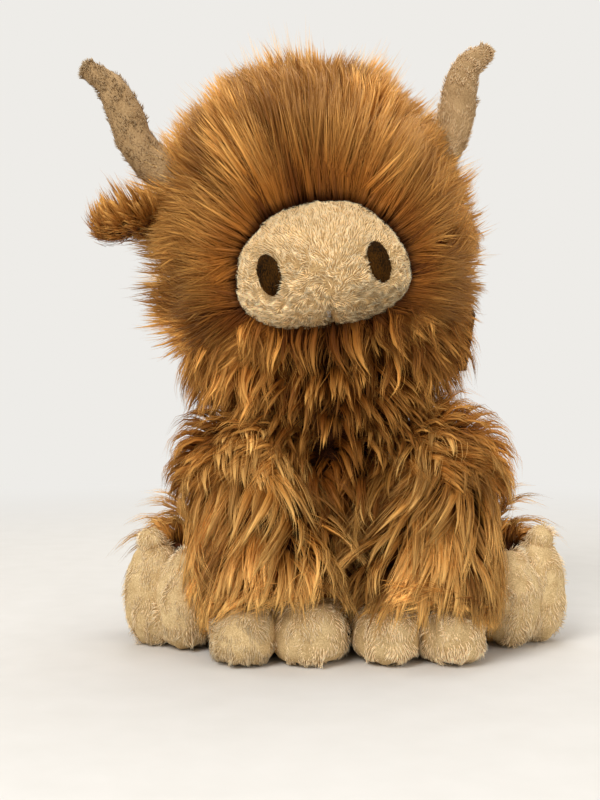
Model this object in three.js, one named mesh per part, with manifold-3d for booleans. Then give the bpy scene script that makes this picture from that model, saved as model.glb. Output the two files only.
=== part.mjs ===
// A seated long-haired plush cow, in millimetres. +Z is up, the cow faces -Y, and the origin is the middle
// of the flat seat that it sits on. Furred pieces are modelled to about three quarters of their pile.
import * as THREE from "three";
import { mergeVertices } from "three/addons/utils/BufferGeometryUtils.js";
import Module from "manifold-3d";

const wasm = await Module();
wasm.setup();

// Gaps
const seam = 0.3; // between two pieces that touch
const sink = 0.5; // how far a soft form is cut flat where it rests

// Torso
const torsoHalfWidth = 86;
const torsoHalfDepth = 60;
const torsoBack = 12; // the torso's middle lies this far behind the origin
const torsoMiddleHeight = 62; // the widest level
const torsoTop = 142;
const torsoSeatFullness = 5; // 2 is round, and more is squarer and flatter below
const torsoPile = 16;
const seatPile = 4; // flattened under the toy
const pelletHalfWidth = 44;
const pelletHalfDepth = 28;
const pelletHeight = 26;
const labelWidth = 16;
const labelLength = 22;
const labelThickness = 0.8;
const labelHeight = 30;
const labelTuck = 3; // its length beyond what shows, cut to the fur's own shape
const labelTurn = 118; // degrees round from +X

// Neck and head
const neckHeight = 150;
const neckShift = -5; // the head sits a little to one side
const neckBack = 4;
const neckRadius = 36;
const headRoll = 7; // degrees, the crown leaning to -X
const headClearance = 1; // the head is cut level this far above the neck's middle
const headHalfWidth = 97;
const headHalfDepth = 72;
const headMiddleHeight = 90; // the widest level above the neck's middle
const headAhead = 4;
const headUp = 112;
const headDown = 104;
const headPile = 34;
const backing = 2; // woven backing of the pile fabric
const beardHalfWidth = 78; // the long pile under the muzzle and the cheeks
const beardHalfDepth = 22;
const beardUp = 24;
const beardDown = 22;
const beardHeight = 17; // its middle above the neck's middle
const beardAhead = 50;

// Muzzle and nostrils
const muzzleHalfWidth = 50.5;
const muzzleUp = 45;
const muzzleDown = 26.5;
const muzzleHalfDepth = 38;
const muzzleHeight = 65; // widest level above the neck's middle
const muzzleAhead = 56;
const muzzlePile = 4;
const nostrilSpread = 30.8;
const nostrilRise = 4.5; // above the muzzle's widest level
const nostrilHalfWidth = 6.2;
const nostrilHalfHeight = 11.5;
const nostrilTilt = 9; // degrees
const nostrilThickness = 1;

// Horns, as x and z above the neck's middle
const hornLeftPath = [[-52, 119], [-88, 149], [-101, 166], [-107, 188], [-113, 203], [-124, 214]];
const hornRightPath = [[52, 112], [86, 141], [97, 160], [102, 178], [108, 190], [119, 196]];
const hornDepth = -4;
const hornBaseRadius = 17;
const hornLowerRadius = 14;
const hornMiddleRadius = 12;
const hornUpperRadius = 11;
const hornTipRadius = 6.5;
const hornPile = 3;

// Ears
const earHeightLeft = 27; // above the head's widest level
const earHeightRight = 17;
const earRootRadius = 8;
const earLength = 38;
const earHalfWidth = 15;
const earHalfThickness = 6;
const earDroopLeft = 3; // degrees below level
const earDroopRight = 50;
const earTurnLeft = 0; // degrees behind the head's side
const earTurnRight = 30;

// Swing tag
const tagWidth = 30;
const tagHeight = 42;
const tagThickness = 0.9;
const tagCorner = 6;
const tagPinRadius = 1.2;
const tagPinLength = 7;
const tagHeadRadius = 3;
const tagHeadThickness = 1;
const tagStand = 3; // from the fur to the tag
const tagTurn = 17; // degrees behind the head's side
const tagDip = 24; // degrees below the head's widest level

// Front legs
const shoulderSpread = 56;
const shoulderAhead = 22;
const shoulderHeight = 102;
const shoulderRadius = 33;
const frontLength = 99;
const frontWaist = 31;
const frontSkirt = 36;
const frontReach = 44; // how far the ankle lies ahead of the shoulder
const frontInward = 15;
const frontAnkle = 20; // height of the ankle
const frontPile = 12;
const frontToeHalfWidth = 20;
const frontToeHalfLength = 29;
const frontToeHeight = 36;
const frontToeSpread = 18;
const frontHoofInward = 16;
const frontHoofAhead = 50;

// Hind legs
const hipSpread = 72;
const hipBack = 14;
const hipHeight = 36;
const hipRadius = 29;
const hindLength = 56;
const hindWaist = 29;
const hindSkirt = 31;
const hindPile = 11;
const hindYawLeft = 31; // degrees that the leg points outward
const hindYawRight = 36;
const hindHoofAhead = 60;
const hindToeHalfWidth = 18.5;
const hindToeHalfDepth = 18;
const hindToeHeight = 64;
const hindToeSpread = 11;
const hindInnerToeShare = 0.9; // height of the inner toe as a share of the outer
const hindNubRadius = 8.5;
const hindNubHeight = 62;
const hindNubAhead = 3; // ahead of the toe's middle
const partingYaw = 27; // degrees that the flat between a front and a hind leg faces behind the side

// All hooves, legs and the tail
const hoofPile = 3;
const legPlug = 16; // radius of the stuffing where it leaves a leg's skin
const limbWaistAt = 0.45; // shares of a limb's length
const limbSkirtAt = 0.8;
const limbHemAt = 0.97;
const limbHem = 0.72; // the hem's radius as a share of the skirt's
const tailRadius = 7;
const tailHeight = 44;
const tailLength = 52;
const tailDrop = 26;
const tailBends = [[0.35, 0.25], [0.7, 0.8]]; // shares of its length and drop
const tailRootRadius = 8;
const tuftHalfLength = 20;
const tuftAhead = 12; // the tuft's middle beyond the stem's tip
const tuftRadius = 11;

const finishes = {
  fur: { color: 0xa5642d, roughness: 0.95, metalness: 0 },
  plush: { color: 0xcdaf82, roughness: 0.95, metalness: 0 },
  hornPlush: { color: 0x967855, roughness: 0.95, metalness: 0 },
  thread: { color: 0x2d2014, roughness: 0.7, metalness: 0 },
  stuffing: { color: 0xe9e6df, roughness: 1, metalness: 0 },
  pelletCloth: { color: 0xd8d2c4, roughness: 0.9, metalness: 0 },
  card: { color: 0x4a3220, roughness: 0.6, metalness: 0 },
  label: { color: 0xf2f0ea, roughness: 0.8, metalness: 0 },
  plastic: { color: 0xe8e6e2, roughness: 0.4, metalness: 0 },
};

// A closed three.js geometry as a solid that can be joined and cut.
function solid(shape) {
  shape.deleteAttribute("normal");
  shape.deleteAttribute("uv");
  const welded = mergeVertices(shape, 1e-4);
  const corners = welded.index.array;
  const kept = [];
  for (let i = 0; i < corners.length; i += 3) {
    const [a, b, c] = [corners[i], corners[i + 1], corners[i + 2]];
    if (a !== b && b !== c && c !== a) kept.push(a, b, c);
  }
  return new wasm.Manifold(
    new wasm.Mesh({
      numProp: 3,
      vertProperties: new Float32Array(welded.attributes.position.array),
      triVerts: new Uint32Array(kept),
    }),
  );
}

// The same geometry, given in the object's frame, as a solid in a group's own frame.
function inFrameOf(group, shape) {
  group.updateWorldMatrix(true, false);
  return solid(shape.clone().applyMatrix4(group.matrixWorld.clone().invert()));
}

function addPiece(group, name, made, finish) {
  const { vertProperties, triVerts } = made.getMesh();
  const shape = new THREE.BufferGeometry();
  shape.setAttribute("position", new THREE.BufferAttribute(vertProperties, 3));
  shape.setIndex(new THREE.BufferAttribute(triVerts, 1));
  shape.computeVertexNormals();
  const mesh = new THREE.Mesh(shape, new THREE.MeshStandardMaterial(finishes[finish]));
  mesh.name = name;
  group.add(mesh);
  return mesh;
}

// A soft rounded form: elliptical in plan, with its own height and fullness above and below its widest level.
function pillow(form, grow = 0) {
  const { middle, halfWidth, halfDepth, up, down, fullUp = 2, fullDown = 2, around = 12, rings = 6 } = form;
  const shape = new THREE.SphereGeometry(1, around, rings);
  shape.rotateX(Math.PI / 2);
  const at = shape.getAttribute("position");
  for (let i = 0; i < at.count; i++) {
    const level = at.getZ(i);
    const power = 2 / (level > 0 ? fullUp : fullDown);
    const tall = (level > 0 ? up : down) + grow;
    const round = Math.max(Math.hypot(at.getX(i), at.getY(i)), 1e-12);
    const spread = round ** (power - 1);
    at.setXYZ(
      i,
      at.getX(i) * spread * (halfWidth + grow),
      at.getY(i) * spread * (halfDepth + grow),
      Math.sign(level) * Math.abs(level) ** power * tall,
    );
  }
  return shape.translate(...middle);
}

// The point of a pillow's surface at an angle round it and an angle above its widest level, and the way out.
function onPillow(form, turn, rise) {
  const { middle, halfWidth, halfDepth, up, down, fullUp = 2, fullDown = 2 } = form;
  const full = rise > 0 ? fullUp : fullDown;
  const tall = rise > 0 ? up : down;
  const round = Math.cos(rise) ** (2 / full);
  const level = Math.sign(rise) * Math.abs(Math.sin(rise)) ** (2 / full);
  const offset = new THREE.Vector3(
    halfWidth * round * Math.cos(turn),
    halfDepth * round * Math.sin(turn),
    tall * level,
  );
  const steep = round ** (full - 2);
  const out = new THREE.Vector3(
    (steep * offset.x) / halfWidth ** 2,
    (steep * offset.y) / halfDepth ** 2,
    (Math.sign(level) * Math.abs(level) ** (full - 1)) / tall,
  );
  return { point: offset.add(new THREE.Vector3(...middle)), out: out.normalize() };
}

const ballSides = 14;
const rootSides = 10; // of the small balls at the roots of the ears and the tail

// A ball, and the slightly larger hollow that lets it turn any way, its facets facing the ball's corners.
function ball(radius, middle = [0, 0, 0], sides = ballSides) {
  return new THREE.SphereGeometry(radius, sides, sides / 2).rotateX(Math.PI / 2).translate(...middle);
}

function socket(radius, middle = [0, 0, 0], sides = ballSides) {
  const facet = Math.cos(Math.PI / sides) ** 2;
  const hollow = new THREE.SphereGeometry((radius + seam) / facet, sides, sides / 2 + 1);
  return hollow.rotateY(Math.PI / sides).rotateX(Math.PI / 2).translate(...middle);
}

// A limb's outline turned about its axis: a ball at the joint, a waist, a fuller skirt of fur and a round end.
function limb(sizes, way, grow = 0, sides = 12) {
  const { joint, waist, skirt, length } = sizes;
  const round = joint + grow;
  const outline = [];
  const steps = 3;
  for (let i = 0; i < steps; i++) {
    const turn = (Math.PI / 2) * (i / steps);
    outline.push(new THREE.Vector2(round * Math.sin(turn), -round * Math.cos(turn)));
  }
  const shaft = new THREE.SplineCurve([
    new THREE.Vector2(round, 0),
    new THREE.Vector2(waist + grow, length * limbWaistAt),
    new THREE.Vector2(skirt + grow, length * limbSkirtAt),
    new THREE.Vector2(skirt * limbHem + grow, length * limbHemAt),
  ]);
  outline.push(...shaft.getPoints(4), new THREE.Vector2(0, length + grow));
  const shape = new THREE.LatheGeometry(outline, sides);
  const turn = new THREE.Quaternion().setFromUnitVectors(new THREE.Vector3(0, 1, 0), way);
  return shape.applyQuaternion(turn);
}

const coreSides = 6; // facets round a hidden core

// The stuffing inside a limb: the limb drawn in by its pile, with a plug at its foot.
function limbCore(sizes, way, grow = 0) {
  const { joint, waist, skirt, length, pile } = sizes;
  const drawn = { joint: joint - pile, waist: waist - pile, skirt: skirt - pile, length: length - pile };
  const turn = new THREE.Quaternion().setFromUnitVectors(new THREE.Vector3(0, 1, 0), way);
  const plug = new THREE.CylinderGeometry(legPlug + grow, legPlug + grow, length, coreSides);
  plug.translate(0, length * limbSkirtAt, 0).applyQuaternion(turn);
  return solid(limb(drawn, way, grow, coreSides)).add(solid(plug));
}

const tubeStartBulge = 0.3; // how far a tube's ends are domed, as shares of their radii
const tubeTipBulge = 0.5;

// A round tapering tube along a curve, with a radius for each share of its length and domed ends.
function taperedTube(curve, radiusAt, rings = 9, sides = 9, grow = 0) {
  const frames = curve.computeFrenetFrames(rings, false);
  const places = [];
  const corners = [];
  for (let i = 0; i <= rings; i++) {
    const share = i / rings;
    const middle = curve.getPointAt(share);
    const radius = radiusAt(share) + grow;
    for (let k = 0; k < sides; k++) {
      const turn = (2 * Math.PI * k) / sides;
      const place = middle.clone();
      place.addScaledVector(frames.normals[i], radius * Math.cos(turn));
      place.addScaledVector(frames.binormals[i], radius * Math.sin(turn));
      places.push(place);
    }
  }
  const start = places.length;
  places.push(curve.getPointAt(0).addScaledVector(frames.tangents[0], -radiusAt(0) * tubeStartBulge - grow));
  places.push(curve.getPointAt(1).addScaledVector(frames.tangents[rings], radiusAt(1) * tubeTipBulge + grow));
  for (let k = 0; k < sides; k++) {
    const next = (k + 1) % sides;
    corners.push(start, next, k);
    corners.push(start + 1, rings * sides + k, rings * sides + next);
    for (let i = 0; i < rings; i++) {
      const [low, high] = [i * sides, (i + 1) * sides];
      corners.push(low + k, low + next, high + next, low + k, high + next, high + k);
    }
  }
  const shape = new THREE.BufferGeometry().setFromPoints(places);
  return shape.setIndex(corners);
}

const torsoForm = {
  middle: [0, torsoBack, torsoMiddleHeight],
  halfWidth: torsoHalfWidth,
  halfDepth: torsoHalfDepth,
  up: torsoTop - torsoMiddleHeight,
  down: torsoMiddleHeight + sink,
  fullUp: 2.2,
  fullDown: torsoSeatFullness,
  around: 20,
  rings: 10,
};
const headForm = {
  middle: [0, -headAhead, headMiddleHeight],
  halfWidth: headHalfWidth,
  halfDepth: headHalfDepth,
  up: headUp,
  down: headDown,
  fullDown: 2.6,
  around: 22,
  rings: 12,
};
const beardForm = {
  middle: [0, -beardAhead, beardHeight],
  halfWidth: beardHalfWidth,
  halfDepth: beardHalfDepth,
  up: beardUp,
  down: beardDown,
  around: 20,
  rings: 8,
};
const muzzleForm = {
  middle: [0, -muzzleAhead, muzzleHeight],
  halfWidth: muzzleHalfWidth,
  halfDepth: muzzleHalfDepth,
  up: muzzleUp,
  down: muzzleDown,
  fullDown: 2.4,
  around: 16,
  rings: 8,
};
const coarse = { around: 10, rings: 6 }; // hidden faces
const frontLimb = {
  joint: shoulderRadius,
  waist: frontWaist,
  skirt: frontSkirt,
  length: frontLength,
  pile: frontPile,
};
const hindLimb = { joint: hipRadius, waist: hindWaist, skirt: hindSkirt, length: hindLength, pile: hindPile };

const cow = new THREE.Group();
const far = 4 * headUp + 4 * torsoTop; // further than the toy reaches
const floor = new THREE.BoxGeometry(far, far, far).translate(0, 0, -far / 2);
const neck = [neckShift, neckBack, neckHeight];
const shoulderOf = (side) => [side * shoulderSpread, -shoulderAhead, shoulderHeight];
const hipOf = (side) => [side * hipSpread, hipBack, hipHeight];
const sideName = (side) => (side < 0 ? "left" : "right");

// The torso's skin is open where the neck and the four legs go in.
function addTorso() {
  let holes = solid(socket(neckRadius, neck)).add(solid(floor));
  for (const side of [-1, 1]) {
    holes = holes.add(solid(socket(shoulderRadius, shoulderOf(side))));
    holes = holes.add(solid(socket(hipRadius, hipOf(side))));
  }
  const innerForm = { ...torsoForm, ...coarse, down: torsoMiddleHeight - seatPile + torsoPile };
  holes = holes.add(solid(socket(tailRootRadius, tailRoot().toArray(), rootSides)));
  const inner = solid(pillow(innerForm, -torsoPile));
  addPiece(cow, "torso_skin", solid(pillow(torsoForm)).subtract(inner).subtract(holes), "fur");

  const pellets = {
    middle: [0, torsoBack, seatPile + seam + pelletHeight / 2],
    halfWidth: pelletHalfWidth,
    halfDepth: pelletHalfDepth,
    up: pelletHeight / 2,
    down: pelletHeight / 2,
    fullDown: 4,
  };
  const nest = { ...pellets, down: pelletHeight };
  const filling = solid(pillow(innerForm, -torsoPile - seam)).subtract(solid(pillow(nest, seam)));
  addPiece(cow, "torso_stuffing", filling.subtract(holes), "stuffing");
  const bag = solid(pillow(pellets)).intersect(solid(pillow(innerForm, -torsoPile - seam)));
  addPiece(cow, "pellet_bag", bag, "pelletCloth");
}

// A folded ribbon sewn into the rear seam, standing out from it.
function addLabel() {
  const rise = torsoRise(labelHeight);
  const { point, out } = onPillow(torsoForm, THREE.MathUtils.degToRad(labelTurn), rise);
  const group = new THREE.Group();
  group.position.copy(point);
  group.rotation.z = Math.atan2(out.y, out.x);
  const ribbon = new THREE.BoxGeometry(labelLength + labelTuck, labelThickness, labelWidth);
  ribbon.translate((labelLength - labelTuck) / 2, 0, 0);
  cow.add(group);
  const fur = inFrameOf(group, pillow(torsoForm, seam));
  addPiece(group, "sewn_label", solid(ribbon).subtract(fur), "label");
}

// The angle of a low level of the torso below its widest.
function torsoRise(height) {
  return -Math.asin(((torsoMiddleHeight - height) / torsoForm.down) ** (torsoSeatFullness / 2));
}

function tailRoot() {
  return onPillow(torsoForm, Math.PI / 2, torsoRise(tailHeight)).point;
}

function addTail() {
  const group = new THREE.Group();
  group.position.copy(tailRoot());
  cow.add(group);
  const tip = new THREE.Vector3(0, tailLength, -tailDrop);
  const curve = new THREE.CatmullRomCurve3([
    new THREE.Vector3(0, 0, 0),
    new THREE.Vector3(0, tailLength * tailBends[0][0], -tailDrop * tailBends[0][1]),
    new THREE.Vector3(0, tailLength * tailBends[1][0], -tailDrop * tailBends[1][1]),
    tip,
  ]);
  const root = solid(ball(tailRootRadius, [0, 0, 0], rootSides));
  const stem = solid(taperedTube(curve, () => tailRadius, 5, 8)).add(root);
  const tuft = {
    middle: [0, tip.y + tuftAhead, tip.z],
    halfWidth: tuftRadius,
    halfDepth: tuftHalfLength,
    up: tuftRadius,
    down: tuftRadius,
    around: 12,
  };
  addPiece(group, "tail", stem, "fur");
  const collar = solid(taperedTube(curve, () => tailRadius, 5, 8, seam));
  addPiece(group, "tail_tuft", solid(pillow(tuft)).subtract(collar), "fur");
}

function addNeck() {
  const group = new THREE.Group();
  group.position.set(...neck);
  cow.add(group);
  addPiece(group, "neck_stuffing", solid(ball(neckRadius)), "stuffing");
}

// A horn's plush skin and core, reaching down to the backing of the head's fabric.
function horn(path) {
  const curve = new THREE.CatmullRomCurve3(path.map(([x, z]) => new THREE.Vector3(x, hornDepth, z)));
  const radii = new THREE.CatmullRomCurve3([
    new THREE.Vector3(hornBaseRadius, 0, 0),
    new THREE.Vector3(hornLowerRadius, 0, 0),
    new THREE.Vector3(hornMiddleRadius, 0, 0),
    new THREE.Vector3(hornUpperRadius, 0, 0),
    new THREE.Vector3(hornTipRadius, 0, 0),
  ]);
  const radiusAt = (share) => radii.getPoint(share).x;
  return (grow = 0) => solid(taperedTube(curve, radiusAt, 9, 9, grow));
}

// The head is one group, rolled to one side about the neck.
function addHead() {
  const head = new THREE.Group();
  head.position.set(...neck);
  head.rotation.y = -THREE.MathUtils.degToRad(headRoll);
  cow.add(head);

  const below = new THREE.BoxGeometry(far, far, far);
  below.translate(0, 0, neckHeight + headClearance - far / 2);
  const neckHollow = solid(socket(neckRadius));
  const lower = inFrameOf(head, below).add(neckHollow);
  const hidden = { ...headForm, ...coarse };
  const cloth = solid(pillow(hidden, backing - headPile));
  const seat = solid(pillow(hidden, backing - headPile + seam));
  const inner = solid(pillow(hidden, -headPile));

  const muzzle = solid(pillow(muzzleForm));
  const muzzleInner = { ...muzzleForm, ...coarse };
  const muzzleCore = solid(pillow(muzzleInner, -muzzlePile));
  addPiece(head, "muzzle_skin", muzzle.subtract(muzzleCore).subtract(seat), "plush");
  const muzzleFilling = solid(pillow(muzzleInner, -muzzlePile - seam)).subtract(seat);
  addPiece(head, "muzzle_stuffing", muzzleFilling, "stuffing");

  const hornForms = { left: horn(hornLeftPath), right: horn(hornRightPath) };
  let pockets = solid(pillow(muzzleForm, seam));
  for (const [name, form] of Object.entries(hornForms)) {
    const skin = form().subtract(form(-hornPile)).subtract(seat);
    addPiece(head, `horn_${name}_skin`, skin, "hornPlush");
    addPiece(head, `horn_${name}_stuffing`, form(-hornPile - seam).subtract(seat), "stuffing");
    pockets = pockets.add(form(seam));
  }
  pockets = pockets.subtract(cloth);

  for (const side of [-1, 1]) {
    addNostril(head, side);
    pockets = pockets.add(addEar(head, side));
  }
  pockets = pockets.add(addTag(head));
  const outer = solid(pillow(headForm)).subtract(lower);
  const beard = solid(pillow(beardForm)).subtract(neckHollow);
  addPiece(head, "head_skin", outer.add(beard).subtract(inner).subtract(pockets), "fur");
  const filling = solid(pillow(hidden, -headPile - seam));
  addPiece(head, "head_stuffing", filling.subtract(lower), "stuffing");
}

// An embroidered oval lying on the muzzle.
function addNostril(head, side) {
  const oval = new THREE.CylinderGeometry(1, 1, muzzleHalfDepth * 2, 20);
  oval.scale(nostrilHalfWidth, 1, nostrilHalfHeight);
  oval.rotateY(THREE.MathUtils.degToRad(nostrilTilt));
  oval.translate(side * nostrilSpread, -muzzleAhead - muzzleHalfDepth, muzzleHeight + nostrilRise);
  const layer = solid(pillow(muzzleForm, seam + nostrilThickness)).subtract(solid(pillow(muzzleForm, seam)));
  addPiece(head, `nostril_${sideName(side)}`, layer.intersect(solid(oval)), "thread");
}

// An ear's root is a small ball at the fur, so that it can flap. Returns the hollow that the ball needs.
function addEar(head, side) {
  const [height, droop, turn] = side < 0
    ? [earHeightLeft, earDroopLeft, -earTurnLeft]
    : [earHeightRight, earDroopRight, earTurnRight];
  const around = THREE.MathUtils.degToRad(turn) + (side < 0 ? Math.PI : 0);
  const { point } = onPillow(headForm, around, Math.asin(height / headUp));
  const group = new THREE.Group();
  group.position.copy(point);
  group.rotation.order = "ZYX";
  group.rotation.y = side * THREE.MathUtils.degToRad(droop);
  group.rotation.z = THREE.MathUtils.degToRad(turn);
  head.add(group);
  const leaf = {
    middle: [side * (earLength / 2 + seam), 0, 0],
    halfWidth: earLength / 2,
    halfDepth: earHalfWidth,
    up: earHalfThickness,
    down: earHalfThickness,
    rings: 6,
  };
  const flap = solid(pillow(leaf)).add(solid(ball(earRootRadius, [0, 0, 0], rootSides)));
  addPiece(group, `ear_${sideName(side)}`, flap, "fur");
  return solid(socket(earRootRadius, point.toArray(), rootSides));
}

// A bare card with cut corners on a short plastic pin. Returns the hole that the pin needs.
function addTag(head) {
  const turn = THREE.MathUtils.degToRad(tagTurn);
  const { point, out } = onPillow(headForm, turn, -THREE.MathUtils.degToRad(tagDip));
  const group = new THREE.Group();
  group.position.copy(point);
  const upright = new THREE.Vector3(0, 0, 1).addScaledVector(out, -out.z).normalize();
  const across = new THREE.Vector3().crossVectors(upright, out);
  group.setRotationFromMatrix(new THREE.Matrix4().makeBasis(across, upright, out));
  head.add(group);

  const [w, top] = [tagWidth / 2, tagCorner];
  const card = new THREE.Shape([
    new THREE.Vector2(-w + tagCorner, top),
    new THREE.Vector2(-w, 0),
    new THREE.Vector2(-w, top - tagHeight),
    new THREE.Vector2(w, top - tagHeight),
    new THREE.Vector2(w, 0),
    new THREE.Vector2(w - tagCorner, top),
  ]);
  const hole = new THREE.Path().absarc(0, 0, tagPinRadius + seam, 0, 2 * Math.PI, true);
  card.holes.push(hole);
  const tag = new THREE.ExtrudeGeometry(card, { depth: tagThickness, bevelEnabled: false, curveSegments: 12 });
  addPiece(group, "swing_tag", solid(tag.translate(0, 0, tagStand)), "card");

  const shaft = (radius, from, to) =>
    solid(new THREE.CylinderGeometry(radius, radius, to - from, 12).rotateX(Math.PI / 2)
      .translate(0, 0, (from + to) / 2));
  const capAt = tagStand + tagThickness + seam;
  const capTop = capAt + tagHeadThickness;
  const pin = shaft(tagPinRadius, -tagPinLength, capTop).add(shaft(tagHeadRadius, capAt, capTop));
  addPiece(group, "tag_pin", pin, "plastic");
  const drilled = new THREE.CylinderGeometry(tagPinRadius + seam, tagPinRadius + seam, tagPinLength * 2, 12);
  drilled.rotateX(Math.PI / 2).translate(0, 0, -seam);
  group.updateMatrix();
  return solid(drilled.applyMatrix4(group.matrix));
}

// Skin and stuffing of a leg, in its own group at the joint. It is cut by the torso outside its joint, and
// by what is taken up by a larger limb beside it.
function addLeg(group, name, sizes, way, hoof, larger = []) {
  const joint = new THREE.Vector3().setFromMatrixPosition(group.matrixWorld);
  const inward = -Math.sign(joint.x);
  const plugAt = (radius) =>
    solid(new THREE.CylinderGeometry(radius, radius, sizes.joint, coreSides).rotateZ(Math.PI / 2)
      .translate((inward * sizes.joint) / 2, 0, 0));
  let body = inFrameOf(group, pillow(torsoForm, seam)).subtract(solid(ball(sizes.joint + seam)));
  for (const shape of larger) body = body.add(inFrameOf(group, shape));
  const ground = inFrameOf(group, floor);
  const form = solid(limb(sizes, way));
  const hollow = limbCore(sizes, way, seam).add(plugAt(legPlug + seam));
  const core = limbCore(sizes, way).add(plugAt(legPlug));
  addPiece(group, `${name}_skin`, form.subtract(hollow).subtract(body).subtract(ground), "fur");

  const above = solid(limb(sizes, way, seam));
  const shell = hoof(0).subtract(hoof(-hoofPile)).subtract(above).subtract(body).subtract(ground);
  addPiece(group, name.replace("leg", "hoof"), shell, "plush");
  const inside = hoof(-hoofPile - seam);
  const filling = core.intersect(form.add(inside)).add(inside.subtract(above));
  addPiece(group, `${name}_stuffing`, filling.subtract(body).subtract(ground), "stuffing");
}

const frontWay = (side) =>
  new THREE.Vector3(-side * frontInward, -frontReach, frontAnkle - shoulderHeight).normalize();

function frontToe(side, place, grow) {
  const middle = new THREE.Vector3(
    place * frontToeSpread - side * frontHoofInward,
    -frontHoofAhead,
    frontToeHeight / 2 - sink - shoulderHeight,
  );
  const toe = {
    middle: middle.toArray(),
    halfWidth: frontToeHalfWidth,
    halfDepth: frontToeHalfLength,
    up: frontToeHeight / 2,
    down: frontToeHeight / 2,
    fullUp: 2.3,
    fullDown: 2.6,
    around: grow < 0 ? coreSides : 12,
    rings: grow < 0 ? 4 : 6,
  };
  return pillow(toe, grow);
}

function addFrontLeg(side) {
  const group = new THREE.Group();
  group.position.set(...shoulderOf(side));
  cow.add(group);
  group.updateWorldMatrix(true, false);
  const hoof = (grow) => solid(frontToe(side, -1, grow)).add(solid(frontToe(side, 1, grow)));
  addLeg(group, `front_leg_${sideName(side)}`, frontLimb, frontWay(side), hoof);
}

// All that lies on the front leg's side of a flat that just clears it.
function frontLegSide(side) {
  const yaw = THREE.MathUtils.degToRad(partingYaw);
  const way = frontWay(side);
  const out = new THREE.Vector3(side * Math.cos(yaw), Math.sin(yaw), 0);
  out.addScaledVector(way, -out.dot(way)).normalize();
  const block = new THREE.BoxGeometry(far, far, far).translate(frontSkirt + seam - far / 2, 0, 0);
  const turn = new THREE.Quaternion().setFromUnitVectors(new THREE.Vector3(1, 0, 0), out);
  return block.applyQuaternion(turn).translate(...shoulderOf(side));
}

function addHindLeg(side) {
  const group = new THREE.Group();
  group.position.set(...hipOf(side));
  const yaw = side < 0 ? hindYawLeft : hindYawRight;
  group.rotation.z = side * THREE.MathUtils.degToRad(yaw);
  cow.add(group);
  group.updateWorldMatrix(true, false);
  const hoof = (grow) => {
    const half = hindToeHeight / 2;
    const toe = (place, tall) =>
      solid(pillow({
        middle: [place * hindToeSpread, -hindHoofAhead, tall - sink - hipHeight],
        halfWidth: hindToeHalfWidth,
        halfDepth: hindToeHalfDepth,
        up: tall,
        down: tall,
        fullDown: 2.3,
        around: grow < 0 ? coreSides : 12,
        rings: grow < 0 ? 4 : 6,
      }, grow));
    const outer = toe(side, half);
    const inner = toe(-side, half * hindInnerToeShare);
    const nubPlace = [side * hindToeSpread, -hindHoofAhead - hindNubAhead, hindNubHeight - hipHeight];
    const nub = solid(ball(hindNubRadius + grow, nubPlace, 8));
    return outer.add(inner).add(nub);
  };
  const ahead = new THREE.Vector3(0, -1, 0);
  addLeg(group, `hind_leg_${sideName(side)}`, hindLimb, ahead, hoof, [frontLegSide(side)]);
}

addTorso();
addLabel();
addTail();
addNeck();
addHead();
for (const side of [-1, 1]) {
  addFrontLeg(side);
  addHindLeg(side);
}

export default cow;
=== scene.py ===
import math

import bpy
import numpy as np
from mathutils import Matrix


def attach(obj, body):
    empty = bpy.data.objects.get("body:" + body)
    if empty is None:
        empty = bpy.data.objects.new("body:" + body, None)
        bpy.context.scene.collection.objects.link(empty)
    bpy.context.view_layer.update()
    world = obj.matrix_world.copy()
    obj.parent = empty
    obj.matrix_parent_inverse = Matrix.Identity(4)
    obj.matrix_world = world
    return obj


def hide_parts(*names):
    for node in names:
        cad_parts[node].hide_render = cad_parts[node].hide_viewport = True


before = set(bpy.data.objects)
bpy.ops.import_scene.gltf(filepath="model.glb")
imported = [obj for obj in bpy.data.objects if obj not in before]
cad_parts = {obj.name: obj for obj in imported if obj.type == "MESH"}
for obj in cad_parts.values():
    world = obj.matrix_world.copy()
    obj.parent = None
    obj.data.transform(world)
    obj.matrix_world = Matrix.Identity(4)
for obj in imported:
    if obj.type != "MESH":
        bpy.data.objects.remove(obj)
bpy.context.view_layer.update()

mm = 0.001

cameraView = {
    "place": (-0.043, -0.745, 0.157),  # metres
    "turn": 1.38,  # degrees to the cow's left of straight ahead
    "dip": 0.95,  # degrees below level
    "lens": 54.0,
    "sensor": 36.0,
}


def addCamera(view):
    data = bpy.data.cameras.new("camera")
    data.lens, data.sensor_width = view["lens"], view["sensor"]
    data.clip_start, data.clip_end = 0.01, 20
    camera = bpy.data.objects.new("camera", data)
    camera.location = view["place"]
    camera.rotation_euler = (math.radians(90 - view["dip"]), 0, math.radians(-view["turn"]))
    bpy.context.scene.collection.objects.link(camera)
    bpy.context.scene.camera = camera


addCamera(cameraView)
print("camera placed")


# Numbers

def unit(vectors):
    return vectors / np.maximum(np.linalg.norm(vectors, axis=-1, keepdims=True), 1e-12)


def smooth(low, high, x):
    # 0 below low, 1 above high, and 3t^2 - 2t^3 between them
    t = np.clip((x - low) / (high - low), 0, 1)
    return t * t * (3 - 2 * t)


def mix(a, b, share):
    return a + (b - a) * share


def xyz(x, y, z):
    return np.stack(np.broadcast_arrays(x, y, z), -1)


def drift(points, size, seed):
    # smooth noise, about -1 to 1: the sum of eight sine waves of that wavelength in random directions
    rng = np.random.default_rng(seed)
    ways = unit(rng.normal(size=(8, 3))) * rng.uniform(0.6, 1.5, (8, 1)) * 2 * math.pi / size
    phases = rng.uniform(0, 2 * math.pi, 8)
    return np.sin(points @ ways.T + phases).sum(-1) / 2.6


def scatter(rng, rows, size):
    # a random number for each row, normally spread with that size
    return rng.normal(size=len(rows)) * size


def driftWay(points, size, seed):
    # three such noises as one vector
    return xyz(*(drift(points, size, seed + k) for k in range(3)))


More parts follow.
